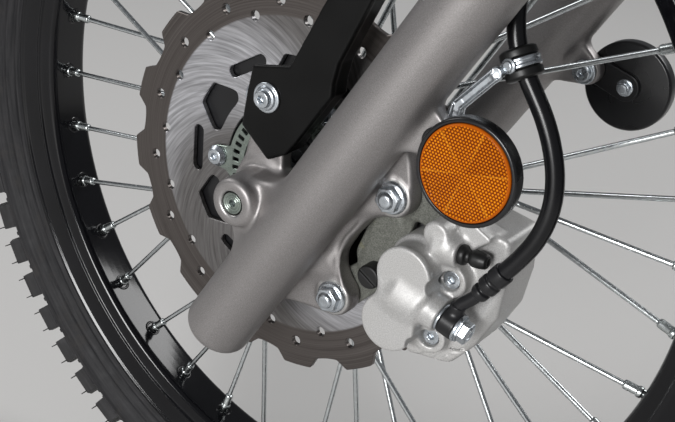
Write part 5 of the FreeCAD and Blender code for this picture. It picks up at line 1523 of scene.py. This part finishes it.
def clamp_form(z0, height, ring_radius, stem_boss):
    """Two rings round the tubes, a boss round the stem and the bridge between them."""
    stem = np.array([stem_x, 0.0])
    top = z0 + height
    body = rod((*stem, z0), (*stem, top), stem_boss, 2.0)
    for side in (-1, 1):
        end = np.array([-tube_lead, side * tube_spread])
        way = unit(end - stem)
        out = np.array([-way[1], way[0]])
        wide, narrow = out * (stem_boss - 3), out * (ring_radius - 6)
        bridge = shelf([stem + wide, end + narrow, end - narrow, stem - wide], z0 + 2, top - 4, 2, 2.5)
        body = body.melt(bridge, 5).melt(rod((*end, z0), (*end, top), ring_radius, 1.6), 4)
        near, far = end[0] + ring_radius - 6, end[0] + ring_radius + 8
        ear = [(near, end[1] - 11), (far, end[1] - 11), (far, end[1] + 11), (near, end[1] + 11)]
        body = body.melt(shelf(ear, z0 + 3, top - 3, 2, 1.5), 3)
        slit = [(end[0], end[1] - 1), (end[0] + 60, end[1] - 1), (end[0] + 60, end[1] + 1),
                (end[0], end[1] + 1)]
        body = body.cut(shelf(slit, z0 - 9, top + 9, 0.2, 0.1), 0.8)
    return body


def make_clamps():
    lower = clamp_form(lower_clamp_z, lower_clamp_height, lower_ring_radius, 27.0)
    tray = shelf([(stem_x - 8, -40), (stem_x + 52, -30), (stem_x + 52, 30), (stem_x - 8, 40)],
                 lower_clamp_z, lower_clamp_z + 14, 4, 1.5)
    lower = lower.melt(tray, 5)
    for k in range(4):
        x, y = np.add((stem_x + 22, 0), polar(fender_bolt_ring, 45 + 90 * k))
        lower = lower.cut(rod((x, y, 560), (x, y, 640), fender_hole_radius, 0.2), 0.6)
    add_form("clamp_lower", lower, 2.1, "clamp_paint", "fork", "clamp_paint", "lower_clamp")
    upper = clamp_form(upper_clamp_z, upper_clamp_height, upper_ring_radius, 24.0)
    for y in (-handlebar_side, handlebar_side):
        at = (stem_x + 14, y)
        boss = rod((*at, upper_clamp_z + 2), (*at, upper_clamp_z + upper_clamp_height), 15, 1.5)
        upper = upper.melt(boss, 4).cut(rod((*at, 760), (*at, 830), handlebar_hole_radius, 0.2), 0.8)
    add_form("clamp_upper", upper, 2.1, "clamp_paint", "fork", "clamp_paint", "upper_clamp")
    low_screws = (lower_clamp_z + 10, lower_clamp_z + lower_clamp_height - 10)
    for ring, places in ((lower_ring_radius, low_screws),
                         (upper_ring_radius, (upper_clamp_z + upper_clamp_height / 2,))):
        for side in (-1, 1):
            for z in places:
                at = np.array([-tube_lead + ring + 2.5, side * tube_spread - 11, z])
                bolt = rod(at, at - (0, 6, 0), 5.0, 0.6).melt(rod(at, at - (0, 1.4, 0), 6.4, 0.4), 0.4)
                bolt = bolt.cut(rod(at - (0, 3.4, 0), at - (0, 9, 0), 2.6, 0.1), 0.3)
                add_form("pinch_bolt_%d_%d" % (z, side + 2), bolt, 0.6, "zinc", "fork", "clamp_paint")


make_sliders()
make_tubes()
make_axle()
make_rim()
make_tyre()
make_knobs()
make_spokes()
make_hub()
make_disc()
make_tone_ring()
make_disc_bolts()
make_caliper()
make_fasteners()
make_banjo()
make_reflectors()
make_guard()
make_hose()
make_grommet()
make_stay()
make_clamps()

# Camera, as the photograph was taken

camera_place = (-0.0537, 0.6568, -0.1996)
camera_right = Vector((-0.80993, -0.56880, 0.14325))
camera_forward = Vector((0.46426, -0.77090, -0.43601))
camera_lens = 66.72
camera_sensor = 36.0


def add_camera():
    data = bpy.data.cameras.new("camera")
    data.lens = camera_lens
    data.sensor_width = camera_sensor
    data.sensor_fit = "HORIZONTAL"
    data.clip_start = 0.02
    made = bpy.data.objects.new("camera", data)
    bpy.context.scene.collection.objects.link(made)
    up = camera_right.cross(camera_forward)
    turn = Matrix((camera_right, up, -camera_forward)).transposed().to_4x4()
    made.matrix_world = Matrix.Translation(camera_place) @ turn
    bpy.context.scene.camera = made


def add_floor():
    low = float(axle_at[2]) - tyre_radius / 1000
    data = bpy.data.meshes.new("floor")
    size = 6.0
    data.from_pydata([(-size, -size, low), (size, -size, low), (size, size, low), (-size, size, low)], [],
                     [(0, 1, 2, 3)])
    made = bpy.data.objects.new("floor", data)
    bpy.context.scene.collection.objects.link(made)
    cover = Finish("floor_paint", (0.66, 0.65, 0.635), 0.7)
    made.data.materials.append(cover.material)


def add_lamp(name, place, aim, size, power):
    data = bpy.data.lights.new(name, "AREA")
    data.shape = "RECTANGLE"
    data.size, data.size_y = size
    data.energy = power
    made = bpy.data.objects.new(name, data)
    bpy.context.scene.collection.objects.link(made)
    way = Vector(aim) - Vector(place)
    made.matrix_world = Matrix.Translation(place) @ way.to_track_quat("-Z", "Y").to_matrix().to_4x4()


def add_light():
    """Three large soft lamps and a weak even sky."""
    world = bpy.data.worlds.new("world")
    world.use_nodes = True
    sky = world.node_tree.nodes["Background"]
    sky.inputs["Color"].default_value = (0.86, 0.88, 0.92, 1)
    sky.inputs["Strength"].default_value = 0.20
    bpy.context.scene.world = world
    middle = (0.2, 0.0, -0.4)
    add_lamp("key", (0.10, 2.9, 0.1), middle, (1.1, 0.9), 72)
    add_lamp("front", (2.6, 0.5, 1.1), middle, (1.4, 1.0), 18)
    add_lamp("back", (-0.9, -1.9, 1.5), middle, (1.6, 1.1), 46)


add_camera()
add_floor()
add_light()
bpy.context.scene.view_settings.view_transform = "Standard"
